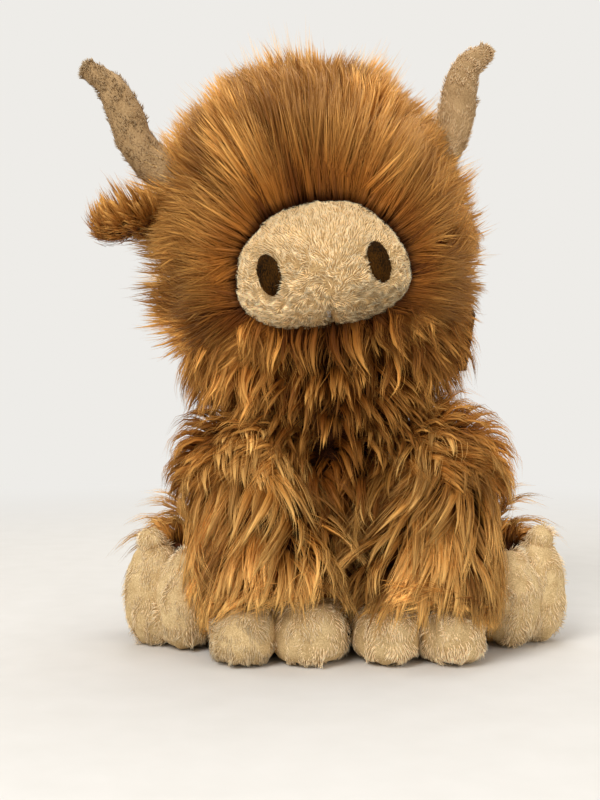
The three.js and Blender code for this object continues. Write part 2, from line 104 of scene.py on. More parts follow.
def spreadWays(count, rng):
    # count directions spread evenly over a ball: the golden spiral, each moved a little
    k = np.arange(count) + 0.5
    level = 1 - 2 * k / count
    turn = k * math.pi * (3 - math.sqrt(5))
    ring = np.sqrt(1 - level**2)
    ways = xyz(ring * np.cos(turn), ring * np.sin(turn), level)
    return unit(ways + rng.normal(size=ways.shape) * 0.9 / math.sqrt(count))


# Forms, in millimetres, as the solids have them

floorGap = 0.3  # no ground comes closer to the floor

def pillow(form, ways, grow=0.0):
    # a rounded form: a direction's ring radius and level, each to the power 2/fullness, times the half sizes
    x, y, level = ways[..., 0], ways[..., 1], ways[..., 2]
    power = 2 / np.where(level > 0, form.get("fullUp", 2), form.get("fullDown", 2))
    tall = np.where(level > 0, form["up"], form["down"]) + grow
    spread = np.maximum(np.hypot(x, y), 1e-9) ** (power - 1)
    return form["middle"] + xyz(
        x * spread * (form["halfWidth"] + grow),
        y * spread * (form["halfDepth"] + grow),
        np.sign(level) * np.abs(level) ** power * tall,
    )


def fullnessAt(form, at):
    # the fullness and the height of a form's upper or lower half, whichever each point is in
    above = at[..., 2] > 0
    full = np.where(above, form.get("fullUp", 2), form.get("fullDown", 2))
    return full, np.where(above, form["up"], form["down"])


def outAt(form, points):
    # the way out of that form: the gradient of (x/a)^2 + (y/b)^2 to the power full/2, plus |z/c|^full
    at = points - form["middle"]
    full, tall = fullnessAt(form, at)
    across = np.hypot(at[..., 0] / form["halfWidth"], at[..., 1] / form["halfDepth"])
    steep = np.maximum(across, 1e-6) ** (full - 2)
    return unit(xyz(
        steep * at[..., 0] / form["halfWidth"] ** 2,
        steep * at[..., 1] / form["halfDepth"] ** 2,
        np.sign(at[..., 2]) * np.abs(at[..., 2] / tall) ** (full - 1) / tall,
    ))


def pillowOut(form, ways):
    return outAt(form, pillow(form, ways))


def inForm(form, points, grow=0.0):
    # below 1 inside a rounded form
    at = points - form["middle"]
    full, tall = fullnessAt(form, at)
    across = np.hypot(at[..., 0] / (form["halfWidth"] + grow), at[..., 1] / (form["halfDepth"] + grow))
    return across**full + np.abs(at[..., 2] / (tall + grow)) ** full


def ontoPillow(form, points, grow):
    # the points carried along their rays from the middle onto the form, then out of it by grow
    at = points - form["middle"]
    full, _ = fullnessAt(form, at)
    placed = form["middle"] + at * (inForm(form, points) ** (-1 / full))[..., None]
    return placed + outAt(form, placed) * np.asarray(grow)[..., None]


def ballGrid(around, rings):
    # directions on a grid of rings from pole to pole, without the poles themselves
    turn = np.arange(around) * 2 * math.pi / around
    rise = (np.arange(1, rings) / rings - 0.5) * math.pi
    turn, rise = np.meshgrid(turn, rise)
    return xyz(np.cos(rise) * np.cos(turn), np.cos(rise) * np.sin(turn), np.sin(rise))


# Meshes

def fillMesh(name, corners, loops, sizes, uv=None):
    # corners in millimetres, the faces' corner numbers in one row, and how many each face has
    mesh = bpy.data.meshes.new(name)
    mesh.vertices.add(len(corners))
    mesh.vertices.foreach_set("co", (corners * mm).astype(np.float32).ravel())
    mesh.loops.add(len(loops))
    mesh.loops.foreach_set("vertex_index", loops.astype(np.int32))
    mesh.polygons.add(len(sizes))
    mesh.polygons.foreach_set("loop_start", (np.cumsum(sizes) - sizes).astype(np.int32))
    mesh.polygons.foreach_set("use_smooth", np.ones(len(sizes), bool))
    if uv is not None:
        layer = mesh.uv_layers.new(name="OFBake")
        layer.data.foreach_set("uv", uv[loops].astype(np.float32).ravel())
    mesh.update(calc_edges=True)
    mesh.validate()
    return mesh


def sheetFaces(grid, first=None, last=None):
    # a grid of rings (ring, place on it) closed round, with a point at each end, as fillMesh takes it
    rings, around = grid.shape[:2]
    first = grid[0].mean(0) if first is None else first
    last = grid[-1].mean(0) if last is None else last
    corners = np.concatenate([grid.reshape(-1, 3), [first, last]])
    k = np.arange(around)
    nextK = (k + 1) % around
    row = np.arange(rings - 1)[:, None] * around
    quads = np.stack([row + k, row + nextK, row + around + nextK, row + around + k], -1).reshape(-1, 4)
    low = np.stack([np.full(around, rings * around), nextK, k], -1)
    top = (rings - 1) * around
    high = np.stack([np.full(around, rings * around + 1), top + k, top + nextK], -1)
    loops = np.concatenate([quads.ravel(), low.ravel(), high.ravel()])
    sizes = np.concatenate([np.full(len(quads), 4), np.full(2 * around, 3)])
    return corners, loops, sizes


def closedSheet(name, grid, first=None, last=None):
    return fillMesh(name, *sheetFaces(grid, first, last))


def joinSheets(name, grids):
    # several closed forms in one mesh
    corners, loops, sizes = zip(*(sheetFaces(grid) for grid in grids))
    counts = [len(some) for some in corners]
    loops = [some + start for some, start in zip(loops, np.cumsum(counts) - counts)]
    return fillMesh(name, np.concatenate(corners), np.concatenate(loops), np.concatenate(sizes))


def hairMesh(name, paths, facing, wide, thick, tone, taper=2.5, sides=3, span=0.012):
    # each hair is a tube of a few sides along its path, closed at the root and drawn to a point at the tip:
    # a corner is the path + side * wide * cos(turn) + up * thick * sin(turn), times 1 - along^taper
    count, steps = paths.shape[:2]
    along = np.linspace(0, 1, steps)
    way = unit(np.gradient(paths, axis=1))
    side = unit(np.cross(way, facing[:, None, :]))
    up = np.cross(side, way)
    full = (1 - along[:-1] ** taper) * (0.6 + 0.4 * smooth(0, 0.25, along[:-1]))
    turns = math.pi / 2 + np.arange(sides) * 2 * math.pi / sides
    sideways = side[:, :-1, None] * (np.cos(turns)[:, None] * np.asarray(wide).reshape(-1, 1, 1, 1))
    upwards = up[:, :-1, None] * (np.sin(turns)[:, None] * np.asarray(thick).reshape(-1, 1, 1, 1))
    rings = paths[:, :-1, None] + (sideways + upwards) * full[:, None, None]
    each = sides * (steps - 1) + 1
    corners = np.concatenate([rings.reshape(count, -1, 3), paths[:, -1:]], 1)
    k = np.arange(sides)
    nextK = (k + 1) % sides
    row = np.arange(steps - 2)[:, None] * sides
    quads = np.stack([row + k, row + sides + k, row + sides + nextK, row + nextK], -1).reshape(-1, 4)
    end = (steps - 2) * sides
    tips = np.stack([end + k, np.full(sides, each - 1), end + nextK], -1)
    one = np.concatenate([quads.ravel(), tips.ravel(), k])
    sizes = np.tile(np.concatenate([np.full(len(quads), 4), np.full(sides, 3), [sides]]), count)
    loops = (one + np.arange(count)[:, None] * each).ravel()
    # the map runs along the hair in v and has the hair's tone in u, so hairs alike share their pixels
    across = np.concatenate([np.tile(0.5 + 0.5 * np.cos(turns), steps - 1), [0.5]]) * span
    u = np.clip(tone, 0.02, 0.98 - span)[:, None] + across
    v = np.broadcast_to(np.concatenate([np.repeat(along[:-1], sides), [1]]) * 0.96 + 0.02, u.shape)
    uv = np.stack([u, v], -1).reshape(-1, 2)
    return fillMesh(name, corners.reshape(-1, 3), loops, sizes, uv)


def show(mesh, material, body, replaces=()):
    piece = bpy.data.objects.new(mesh.name, mesh)
    mesh.materials.append(material)
    bpy.context.scene.collection.objects.link(piece)
    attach(piece, body)
    if replaces:
        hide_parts(*replaces)
    return piece


# Locks of hair

commonHair = {  # each piece's own hair says only what differs
    "gather": 1.2, "flat": 0.4, "stray": 1.0, "waves": 0.8, "steps": 5, "shortest": 0.65, "hairTone": 0.07,
    "body": 0.45, "bodyFlat": 0.3, "bodyTaper": 1.5, "bodyReach": 0.86,
}


def bend(root, control, tip, steps):
    # a quadratic curve: (1-t)^2 root + 2t(1-t) control + t^2 tip
    t = np.linspace(0, 1, steps)[:, None]
    return (1 - t) ** 2 * root[:, None] + 2 * t * (1 - t) * control[:, None] + t * t * tip[:, None]


def comb(spines, facing, look, rng):
    # fills each lock's spine with hairs: a hair is the spine + its own offset, wide at the root and drawn
    # together at the tip, plus the lock's wave, amplitude * sin(turns * along + phase), growing along it
    locks, steps = spines.shape[:2]
    each = look["hairs"]
    along = np.linspace(0, 1, steps)
    way = unit(np.gradient(spines, axis=1))
    side = unit(np.cross(way, facing[:, None, :]))
    up = np.cross(side, way)
    phase = rng.uniform(0, 2 * math.pi, (locks, 1))
    turns = look["waves"] * 2 * math.pi * rng.uniform(0.7, 1.3, (locks, 1))
    swing = look["wave"] * rng.uniform(0.4, 1.2, (locks, 1)) * along
    spines = spines + side * (swing * np.sin(turns * along + phase))[..., None]
    spines = spines + up * (swing * 0.5 * np.cos(turns * along + phase))[..., None]
    offset = rng.normal(size=(locks, each, 2)) * 0.5
    drawn = mix(1, look["tipSpread"], along ** look["gather"])
    across = offset[..., :1] * look["spread"] * drawn
    deep = (np.abs(offset[..., 1:]) * 0.8 + 0.25) * look["spread"] * look["flat"] * drawn
    short = rng.uniform(look["shortest"], 1.05, (locks, each, 1))
    reach = short * along * (steps - 1)
    low = np.minimum(reach.astype(int), steps - 2)
    part = np.minimum(reach - low, 1.3)[..., None]
    lock = np.arange(locks)[:, None, None]
    middle = mix(spines[lock, low], spines[lock, low + 1], part)
    hairs = middle + side[:, None] * across[..., None] + up[:, None] * deep[..., None]
    stray = rng.normal(size=(locks, each, 1, 3)) * look["stray"] * (along**2)[:, None]
    return (hairs + stray).reshape(-1, steps, 3), spines


frontLimit = {"starts": -111.0, "room": 6.5}  # hair further forward than this is eased back into the room


def easeBack(points):
    # beyond the start, y runs on as room * tanh(distance / room), so it never passes start + room
    over = np.maximum(frontLimit["starts"] - points[..., 1], 0)
    points[..., 1] += over - frontLimit["room"] * np.tanh(over / frontLimit["room"])


def dress(name, body, spines, facing, look, base, rng, material, low=1.0):
    # a lock is a closed tapered body along its spine, and single hairs that lie over it
    hairs, spines = comb(spines, facing, look, rng)
    easeBack(hairs)
    easeBack(spines)
    hairs[..., 2] = np.maximum(hairs[..., 2], low + rng.uniform(0, 1.5, (len(hairs), 1)))
    spines[..., 2] = np.maximum(spines[..., 2], low + 3)
    lockTone = np.clip(base + scatter(rng, spines, look["lockTone"]), 0, 1)
    tone = np.clip(np.repeat(lockTone, look["hairs"]) + scatter(rng, hairs, look["hairTone"]), 0, 1)
    if look["body"]:
        # the body ends before its hairs do: its rings lie at even shares of the spine up to that share
        steps = spines.shape[1]
        reach = np.linspace(0, 1, steps) * look["bodyReach"] * (steps - 1)
        step = np.minimum(reach.astype(int), steps - 2)
        inner = mix(spines[:, step], spines[:, step + 1], (reach - step)[:, None])
        wide = look["spread"] * look["body"] * rng.uniform(0.7, 1.2, len(spines))
        thick = wide * look["bodyFlat"]
        mesh = hairMesh(name + ".locks", inner, facing, wide, thick, lockTone, look["bodyTaper"], 5, 0.03)
        show(mesh, material, body)
    facing = np.repeat(facing, look["hairs"], 0)
    show(hairMesh(name, hairs, facing, look["wide"], look["thick"], tone), material, body)
    print(name, len(spines), "locks", len(hairs), "hairs")


def tangent(ways, out):
    # what is left of the ways along the surface
    return unit(ways - (ways * out).sum(-1, keepdims=True) * out)


def lying(root, out, flow, shift, rise, lift):
    # the middle and the tip of locks that lie over along flow: root + flow * shift + out * rise at the tip
    tip = root + flow * shift[:, None] + out * rise[:, None]
    return root + flow * (shift * 0.4)[:, None] + out * (rise * 0.65 + lift)[:, None], tip


def layOver(onto, form, root, flow, shift, rise, share, height, lift=0.0):
    # the middle and the tip of locks that follow a form: the middle has that share of the shift and height of
    # the rise
    over = onto(form, root + flow * (shift * share)[:, None], rise * height + lift)
    return over, onto(form, root + flow * shift[:, None], rise)


def swerve(flow, axis, amount):
    # the flow turned about the axis, by about that many radians
    return unit(flow + amount[:, None] * np.cross(axis, flow))


def choose(keep, count, rng, *columns):
    # that many rows at random of those to keep
    chosen = rng.permutation(np.flatnonzero(keep))[:count]
    return [column[chosen] for column in columns]


def sideWord(side):
    return "left" if side < 0 else "right"


def lockHair(name, body, root, out, over, tip, look, base, rng, material, low=1.0):
    # locks from their roots over a middle point to the tip, kept above the floor: the curve's control point
    # is twice the middle point less half of root and tip
    spines = bend(root, 2 * over - (root + tip) / 2, tip, look["steps"])
    dress(name, body, spines, out, look, base, rng, material, low)


# Finishes

def paint(red, green, blue):
    # linear colour of one written from 0 to 255
    written = np.array([red, green, blue]) / 255
    linear = np.where(written <= 0.04045, written / 12.92, ((written + 0.055) / 1.055) ** 2.4)
    return (*linear, 1)


def addNode(tree, kind, inputs, **settings):
    # a shader node with these settings, and its inputs, by number or name, linked to a socket or set to a value
    node = tree.nodes.new("ShaderNode" + kind)
    for label, value in settings.items():
        setattr(node, label, value)
    for label, value in inputs.items():
        if isinstance(value, bpy.types.NodeSocket):
            tree.links.new(value, node.inputs[label])
        else:
            node.inputs[label].default_value = value
    return node


def mathNode(tree, operation, *values):
    return addNode(tree, "Math", dict(enumerate(values)), operation=operation).outputs[0]


def rangeNode(tree, value, low, high):
    limits = {"Value": value, "From Min": low, "From Max": high}
    return addNode(tree, "MapRange", limits, interpolation_type="SMOOTHSTEP").outputs["Result"]


def mixColour(tree, share, a, b, blend="MIX"):
    return addNode(tree, "Mix", {0: share, 6: a, 7: b}, data_type="RGBA", blend_type=blend).outputs[2]


def noiseNode(tree, scale, detail, stretch=None):
    place = addNode(tree, "TexCoord", {}).outputs["Object"]
    if stretch:
        place = addNode(tree, "Mapping", {"Vector": place, "Scale": stretch}).outputs["Vector"]
    return addNode(tree, "TexNoise", {"Vector": place, "Scale": scale, "Detail": detail}).outputs["Fac"]


def newMaterial(name, roughness, specular):
    material = bpy.data.materials.new(name)
    material.use_nodes = True
    tree = material.node_tree
    shader = tree.nodes["Principled BSDF"]
    shader.inputs["Roughness"].default_value = roughness
    shader.inputs["Specular IOR Level"].default_value = specular
    return material, tree, shader


def makeHairGroup():
    # a hair's colour: from root to tip along v, and from its dark to its light form by the tone in u
    group = bpy.data.node_groups.new("hairColour", "ShaderNodeTree")
    for label in ("Root", "Middle", "Tip", "Darkest", "Lightest"):
        socket = group.interface.new_socket(label, in_out="INPUT", socket_type="NodeSocketColor")
        socket.default_value = (1, 1, 1, 1)
    for label, value in (("Rise", 0.5), ("Streak", 0.0)):
        socket = group.interface.new_socket(label, in_out="INPUT", socket_type="NodeSocketFloat")
        socket.default_value = value
    group.interface.new_socket("Color", in_out="OUTPUT", socket_type="NodeSocketColor")
    given, made = group.nodes.new("NodeGroupInput").outputs, group.nodes.new("NodeGroupOutput")
    place = addNode(group, "UVMap", {}, uv_map="OFBake").outputs[0]
    tone, along = addNode(group, "SeparateXYZ", {0: place}).outputs[:2]
    lowShare = rangeNode(group, mathNode(group, "DIVIDE", along, given["Rise"]), 0.0, 1.0)
    highShare = rangeNode(group, mathNode(group, "SUBTRACT", along, given["Rise"]), 0.0, 0.5)
    colour = mixColour(group, lowShare, given["Root"], given["Middle"])
    colour = mixColour(group, highShare, colour, given["Tip"])
    tint = mixColour(group, tone, given["Darkest"], given["Lightest"])
    colour = mixColour(group, 1.0, colour, tint, "MULTIPLY")
    # streaks: noise drawn out along the hair, around 1
    narrow = addNode(group, "Mapping", {"Vector": place, "Scale": (230, 3, 1)}).outputs["Vector"]
    noise = addNode(group, "TexNoise", {"Vector": narrow, "Scale": 1.0}, noise_dimensions="2D").outputs["Fac"]
    streak = mathNode(group, "MULTIPLY_ADD", mathNode(group, "SUBTRACT", noise, 0.5), given["Streak"], 1.0)
    shown = addNode(group, "VectorMath", {0: colour, "Scale": streak}, operation="SCALE").outputs[0]
    group.links.new(shown, made.inputs["Color"])
    return group


hairGroup = makeHairGroup()


def hairMaterial(name, look):
    material, tree, shader = newMaterial(name, look["roughness"], look["specular"])
    given = {
        "Root": paint(*look["root"]), "Middle": paint(*look["middle"]), "Tip": paint(*look["tip"]),
        "Darkest": (*look["darkest"], 1), "Lightest": (*look["lightest"], 1), "Rise": look["rise"],
        "Streak": look["streak"],
    }
    group = tree.nodes.new("ShaderNodeGroup")
    group.node_tree = hairGroup
    for label, value in given.items():
        group.inputs[label].default_value = value
    tree.links.new(group.outputs["Color"], shader.inputs["Base Color"])
    return material


commonCloth = {"stretch": None, "bump": 0.3, "roughness": 0.9, "specular": 0.2, "depth": 0.4}
cloths = {  # each says only what differs
    "rustGround": {
        "dark": (44, 20, 6), "light": (92, 48, 17), "scale": 900, "stretch": (1, 1, 0.2), "bump": 0.6,
    },
    "creamGround": {"dark": (182, 150, 102), "light": (226, 198, 148), "scale": 1400, "bump": 0.5},
    "muzzleGround": {"dark": (148, 114, 72), "light": (204, 170, 118), "scale": 1400, "bump": 0.5},
    "hornGround": {"dark": (142, 112, 75), "light": (178, 146, 104), "scale": 1200, "bump": 0.4},
    # the light thread colour is partly the threads' own golden brown and partly painted glints of the satin
    "nostrilThread": {
        "dark": (8, 4, 1), "light": (74, 45, 8), "scale": 1900, "stretch": (1, 1, 0.4), "bump": 0.6,
        "roughness": 0.8, "specular": 0.06,
    },
    "stuffingFibre": {"dark": (214, 211, 204), "light": (240, 238, 233), "scale": 700, "bump": 0.6},
    "pelletCloth": {"dark": (196, 188, 170), "light": (224, 217, 202), "scale": 1500, "bump": 0.4},
    "tagCard": {
        "dark": (58, 38, 24), "light": (76, 52, 34), "scale": 900, "bump": 0.12, "roughness": 0.55,
        "specular": 0.4,
    },
    "tagPlastic": {
        "dark": (226, 224, 220), "light": (238, 236, 233), "scale": 500, "bump": 0.05, "roughness": 0.35,
        "specular": 0.5,
    },
    "labelRibbon": {
        "dark": (214, 210, 200), "light": (240, 238, 230), "scale": 1900, "stretch": (0.4, 0.4, 1.6),
        "bump": 0.35, "roughness": 0.6, "specular": 0.3, "depth": 0.2,
    },
}


def clothMaterial(name):
    # a short-haired or woven ground: streaky noise chooses between two colours and raises the surface
    look = {**commonCloth, **cloths[name]}
    material, tree, shader = newMaterial(name, look["roughness"], look["specular"])
    fine = noiseNode(tree, look["scale"], 3.0, look["stretch"])
    broad = noiseNode(tree, look["scale"] / 12, 1.0, look["stretch"])
    share = mathNode(tree, "ADD", mathNode(tree, "MULTIPLY", fine, 0.7), mathNode(tree, "MULTIPLY", broad, 0.3))
    colour = mixColour(tree, rangeNode(tree, share, 0.35, 0.65), paint(*look["dark"]), paint(*look["light"]))
    raised = addNode(tree, "Bump", {"Strength": look["bump"], "Distance": look["depth"] * mm, "Height": fine})
    tree.links.new(colour, shader.inputs["Base Color"])
    tree.links.new(raised.outputs["Normal"], shader.inputs["Normal"])
    return material


# a look's darkest and lightest are the gains on its colours for the darkest and the lightest hairs
furLook = {
    "root": (56, 24, 4), "middle": (174, 110, 40), "tip": (222, 166, 86),
    "darkest": (0.34, 0.24, 0.13), "lightest": (1.6, 1.62, 1.7), "rise": 0.42, "streak": 0.9,
    "roughness": 0.55, "specular": 0.15,
}
legLook = {
    "root": (72, 36, 10), "middle": (196, 134, 58), "tip": (238, 188, 108),
    "darkest": (0.3, 0.22, 0.12), "lightest": (1.65, 1.68, 1.76), "rise": 0.36, "streak": 1.0,
    "roughness": 0.5, "specular": 0.2,
}
plushLook = {
    "root": (190, 156, 110), "middle": (243, 217, 173), "tip": (254, 242, 212),
    "darkest": (0.55, 0.52, 0.47), "lightest": (1.4, 1.41, 1.45), "rise": 0.5, "streak": 0.0,
    "roughness": 0.75, "specular": 0.15,
}
muzzleLook = {
    "root": (156, 120, 74), "middle": (246, 212, 156), "tip": (254, 240, 204),
    "darkest": (0.34, 0.31, 0.27), "lightest": (1.55, 1.57, 1.6), "rise": 0.4, "streak": 0.0,
    "roughness": 0.75, "specular": 0.15,
}
hornLook = {
    "root": (128, 98, 62), "middle": (188, 154, 112), "tip": (230, 204, 164),
    "darkest": (0.5, 0.47, 0.42), "lightest": (1.4, 1.42, 1.46), "rise": 0.5, "streak": 0.0,
    "roughness": 0.8, "specular": 0.15,
}
furHair = hairMaterial("rustHair", furLook)
legHair = hairMaterial("goldenHair", legLook)
plushHair = hairMaterial("creamPile", plushLook)
muzzleHair = hairMaterial("muzzleNap", muzzleLook)
hornHair = hairMaterial("hornPile", hornLook)
furGround = clothMaterial("rustGround")
plushGround = clothMaterial("creamGround")
muzzleGround = clothMaterial("muzzleGround")
hornGround = clothMaterial("hornGround")
print("finishes made")


# The head

headForm = {
    "middle": (0, -4, 90), "halfWidth": 97, "halfDepth": 72, "up": 112, "down": 104, "fullDown": 2.6,
    "pile": 33,
}
muzzleForm = {
    "middle": (0, -56, 65), "halfWidth": 50.5, "halfDepth": 38, "up": 45, "down": 26.5, "fullDown": 2.4,
}
headPlace = {"neck": (-5, 4, 150), "roll": 7}  # the crown leans to -X


def fromHead(points):
    # the head's own millimetres turned about Y by its roll and moved to the neck
    roll = math.radians(headPlace["roll"])
    x, y, z = points[..., 0], points[..., 1], points[..., 2]
    turned = xyz(x * math.cos(roll) - z * math.sin(roll), y, x * math.sin(roll) + z * math.cos(roll))
    return turned + headPlace["neck"]


def turnHead(vectors):
    return fromHead(vectors) - headPlace["neck"]


muzzleWay = unit(np.array([0, -0.937, -0.33]))


def awayFromMuzzle(ways):
    # tangent to the ball, pointing away from the muzzle's middle
    return unit((ways @ muzzleWay)[..., None] * ways - muzzleWay)


def downAlong(out):
    # what is left of straight down along the surface
    return [0, 0, -1.0] + out * out[..., 2:]


def nearMuzzle(ways):
    # 1 at the muzzle's rim and 0 well away from it
    return smooth(0.55, 0.93, ways @ muzzleWay)


pelt = {"deep": 30, "shallow": 13, "around": 96, "rings": 60, "lowest": 149}


def addHeadPelt():
    # the fur's ground under the hair: the head's form drawn in, and drawn in further round the muzzle
    ways = ballGrid(pelt["around"], pelt["rings"])
    depth = mix(pelt["shallow"], pelt["deep"], nearMuzzle(ways))[..., None]
    grid = fromHead(pillow(headForm, ways) - pillowOut(headForm, ways) * depth)
    grid[..., 2] = np.maximum(grid[..., 2], pelt["lowest"])
    show(closedSheet("headPelt", grid), furGround, "head", ["head_skin"])


headHair = {
    **commonHair, "locks": 1330, "rimLocks": 420, "hairs": 7, "spread": 5.5, "tipSpread": 0.8, "gather": 1.0,
    "flat": 0.3, "stray": 0.7, "wave": 1.1, "waves": 0.7, "wide": 0.25, "thick": 0.13, "shortest": 0.7,
    "body": 0.4, "bodyFlat": 0.22, "bodyTaper": 1.2, "bodyReach": 0.9, "lockTone": 0.045, "hairTone": 0.05,
    "frontShift": 60, "edgeShift": 18, "tipRise": 11, "crown": 5, "byEar": 19, "earAt": (-72, -6, 124),
    "seed": 11,
}
fringe = {
    **commonHair, "locks": 400, "hairs": 9, "spread": 7.5, "tipSpread": 0.25, "gather": 1.0, "flat": 0.6,
    "wave": 0.9, "waves": 0.6, "wide": 0.24, "thick": 0.16, "body": 0, "reach": 19.5, "lockTone": 0.06,
    "seed": 13,
}


def headFlow(ways):
    # away from the muzzle, pulled down at the back and under the cheeks
    behind = smooth(0.15, 0.8, ways[..., 1])
    under = smooth(-0.1, -0.75, ways[..., 2])
    pull = np.clip(0.08 + 0.75 * behind + 0.5 * under, 0, 1)[..., None]
    return unit(mix(awayFromMuzzle(ways), unit(downAlong(ways)), pull))


def headRoots(count, rng):
    ways = spreadWays(count, rng)
    out = pillowOut(headForm, ways)
    root = pillow(headForm, ways) - out * headForm["pile"]
    clear = ((np.abs(root - muzzleForm["middle"]) / [muzzleForm["halfWidth"], 60, 44]) ** 2).sum(-1) > 0.92
    return ways, out, root, clear | (ways[:, 1] > -0.2)


def rimRoots(count, rng):
    # round the muzzle's rim, a little inside it, leaning out of the face
    turn = rng.uniform(-0.32, 1.32, count) * math.pi
    deep = rng.uniform(8, 24, count)
    tall = np.where(np.sin(turn) > 0, muzzleForm["up"], muzzleForm["down"])
    wide = np.sqrt(1 - ((deep - 14) / muzzleForm["halfDepth"]) ** 2) * 0.97
    root = muzzleForm["middle"] + xyz(
        np.cos(turn) * muzzleForm["halfWidth"] * wide, deep - 14, np.sin(turn) * tall * wide,
    )
    ways = unit((root - headForm["middle"]) / [headForm["halfWidth"], headForm["halfDepth"], headForm["up"]])
    out = unit(xyz(0.25 * np.cos(turn), -1.0, 0.25 * np.sin(turn)))
    return ways, out, root, deep - 2


def addHeadHair():
    # the face and the crown: long straight hairs combed away from the muzzle, in ridges that fan out from it
    look = headHair
    rng = np.random.default_rng(look["seed"])
    ways, out, root, keep = headRoots(int(look["locks"] * 2.9), rng)
    keep &= (ways[:, 1] < 0.15) & ((ways[:, 2] > -0.6) | (ways[:, 1] > 0.1))
    chosen = rng.permutation(np.flatnonzero(keep))[: look["locks"]]
    rim = rimRoots(look["rimLocks"], rng)
    ways, out, root, deep = [np.concatenate([a[chosen], b]) for a, b in zip(
        (ways, out, root, np.full(len(ways), float(headForm["pile"]))), rim)]
    turned = 0.3 * drift(root, 45, 5) + 0.14 * drift(root, 18, 6) + scatter(rng, root, 0.06)
    flow = swerve(headFlow(ways), ways, turned)
    around = unit(ways - (ways @ muzzleWay)[:, None] * muzzleWay) * 60
    front = -ways[:, 1]
    edge = smooth(0.5, 0.0, front)
    near = nearMuzzle(ways)
    shift = mix(look["edgeShift"], look["frontShift"], smooth(0.0, 0.75, front))
    shift = shift * rng.uniform(0.85, 1.15, len(ways))
    size = np.linalg.norm(root - headForm["middle"], axis=1) + deep
    tipWays = unit(ways + flow * (shift / size)[:, None])
    rise = look["tipRise"] * (0.35 + 0.65 * edge) + look["crown"] * smooth(0.5, 1.0, tipWays[:, 2])
    rise += edge * smooth(0.5, 0.9, -ways[:, 0]) * mix(-4, 8, smooth(-0.6, -0.15, ways[:, 2]))
    rise -= 5 * edge * smooth(-0.25, -0.6, ways[:, 2])
    rise += look["byEar"] * np.exp(-((np.linalg.norm(root - look["earAt"], axis=1) / 24) ** 2))
    rise += 2.2 * drift(root, 30, 8) + 1.6 * drift(around, 14, 34) + 6 * edge * drift(root, 15, 35)
    rise += scatter(rng, ways, mix(1.0, 3.2, edge))
    tip = pillow(headForm, tipWays) + pillowOut(headForm, tipWays) * rise[:, None]
    control = root + out * (deep * mix(1.15, 1.35, near))[:, None]
    control += flow * (shift * mix(0.3, 0.14, near))[:, None]
    spines, out = fromHead(bend(root, control, tip, look["steps"])), turnHead(out)
    base = 0.36 + 0.12 * drift(root, 34, 21) + 0.2 * drift(around, 13, 33) - 0.08 * near + 0.22 * edge
    # lighter at the upper left, painted light where the key lamp falls; the right side a little lighter too
    base += 0.06 * smooth(0, 0.8, -ways[:, 0]) * smooth(0, 0.6, ways[:, 2]) + 0.05 * smooth(0.3, 0.8, ways[:, 0])
    base -= 0.13 * smooth(0.15, 0.5, -ways[:, 0]) * smooth(0.1, -0.3, ways[:, 2])
    for name, part in (("headHairLeft", ways[:, 0] < 0), ("headHairRight", ways[:, 0] >= 0)):
        dress(name, "head", spines[part], out[part], look, base[part], rng, furHair)


def addFringe():
    # the fine light tips that stand out round the head's outline, in tufts with gaps between them
    look = fringe
    rng = np.random.default_rng(look["seed"])
    ways, out, root, keep = headRoots(look["locks"] * 4, rng)
    keep &= (np.abs(ways[:, 1]) < 0.34) & (ways[:, 2] > -0.45) & (drift(root, 17, 5) > -0.35)
    ways, out, root = choose(keep, look["locks"], rng, ways, out, root)
    flow = awayFromMuzzle(ways)
    top = smooth(0.2, 1.0, ways[:, 2])
    low = smooth(0.0, -0.45, ways[:, 2])
    rise = look["reach"] * (0.5 + 0.5 * top - 0.45 * low) + 6 * drift(root, 17, 5)
    rise += scatter(rng, ways, 2)
    shift = rng.uniform(4, 14, len(ways))
    over = root + out * (headForm["pile"] * 0.7) + flow * (shift * 0.35)[:, None]
    tip = root + out * (headForm["pile"] + rise)[:, None] + flow * shift[:, None]
    base = 0.56 + 0.1 * drift(root, 20, 7)
    lockHair("headFringe", "head", fromHead(root), turnHead(out), fromHead(over), fromHead(tip), look, base,
             rng, legHair)


headBack = {
    **commonHair, "locks": 960, "hairs": 5, "spread": 6.5, "tipSpread": 0.4, "wave": 2.0, "wide": 0.38,
    "thick": 0.22, "body": 0.66, "bodyFlat": 0.2, "shortest": 0.7, "length": 50, "lowest": 140, "lockTone": 0.07,
    "seed": 17,
}


def addHeadBack():
    # the back of the head: locks that fall from the crown
    look = headBack
    rng = np.random.default_rng(look["seed"])
    ways, out, root, keep = headRoots(int(look["locks"] * 2.4), rng)
    # the crown takes every root, and the rest a share of them
    keep = (ways[:, 1] > 0.02) & (ways[:, 2] > -0.86)
    keep &= rng.uniform(size=len(ways)) < mix(0.86, 1.0, smooth(0.3, 0.7, ways[:, 2]))
    ways, out, root = choose(keep, look["locks"], rng, ways, out, root)
    flow = swerve(headFlow(ways), ways, 0.35 * drift(root, 45, 5))
    edge = smooth(0.5, 0.0, ways[:, 1])
    shift = look["length"] * rng.uniform(0.8, 1.15, len(ways)) * mix(1, 0.55, edge)
    rise = 4 + 6 * edge + 3 * drift(root, 28, 8) + scatter(rng, ways, 2.5)
    rise += headHair["crown"] * smooth(0.6, 1.0, ways[:, 2])
    over, tip = layOver(ontoPillow, headForm, root, flow, shift, rise, 0.45, 0.5)
    base = 0.38 + 0.13 * drift(root, 34, 21) + 0.14 * edge
    root, out, over, tip = fromHead(root), turnHead(out), fromHead(over), fromHead(tip)
    for name, part in (("headBackLeft", ways[:, 0] < 0), ("headBackRight", ways[:, 0] >= 0)):
        lockHair(name, "head", root[part], out[part], over[part], tip[part], look, base[part], rng, furHair,
                 look["lowest"])


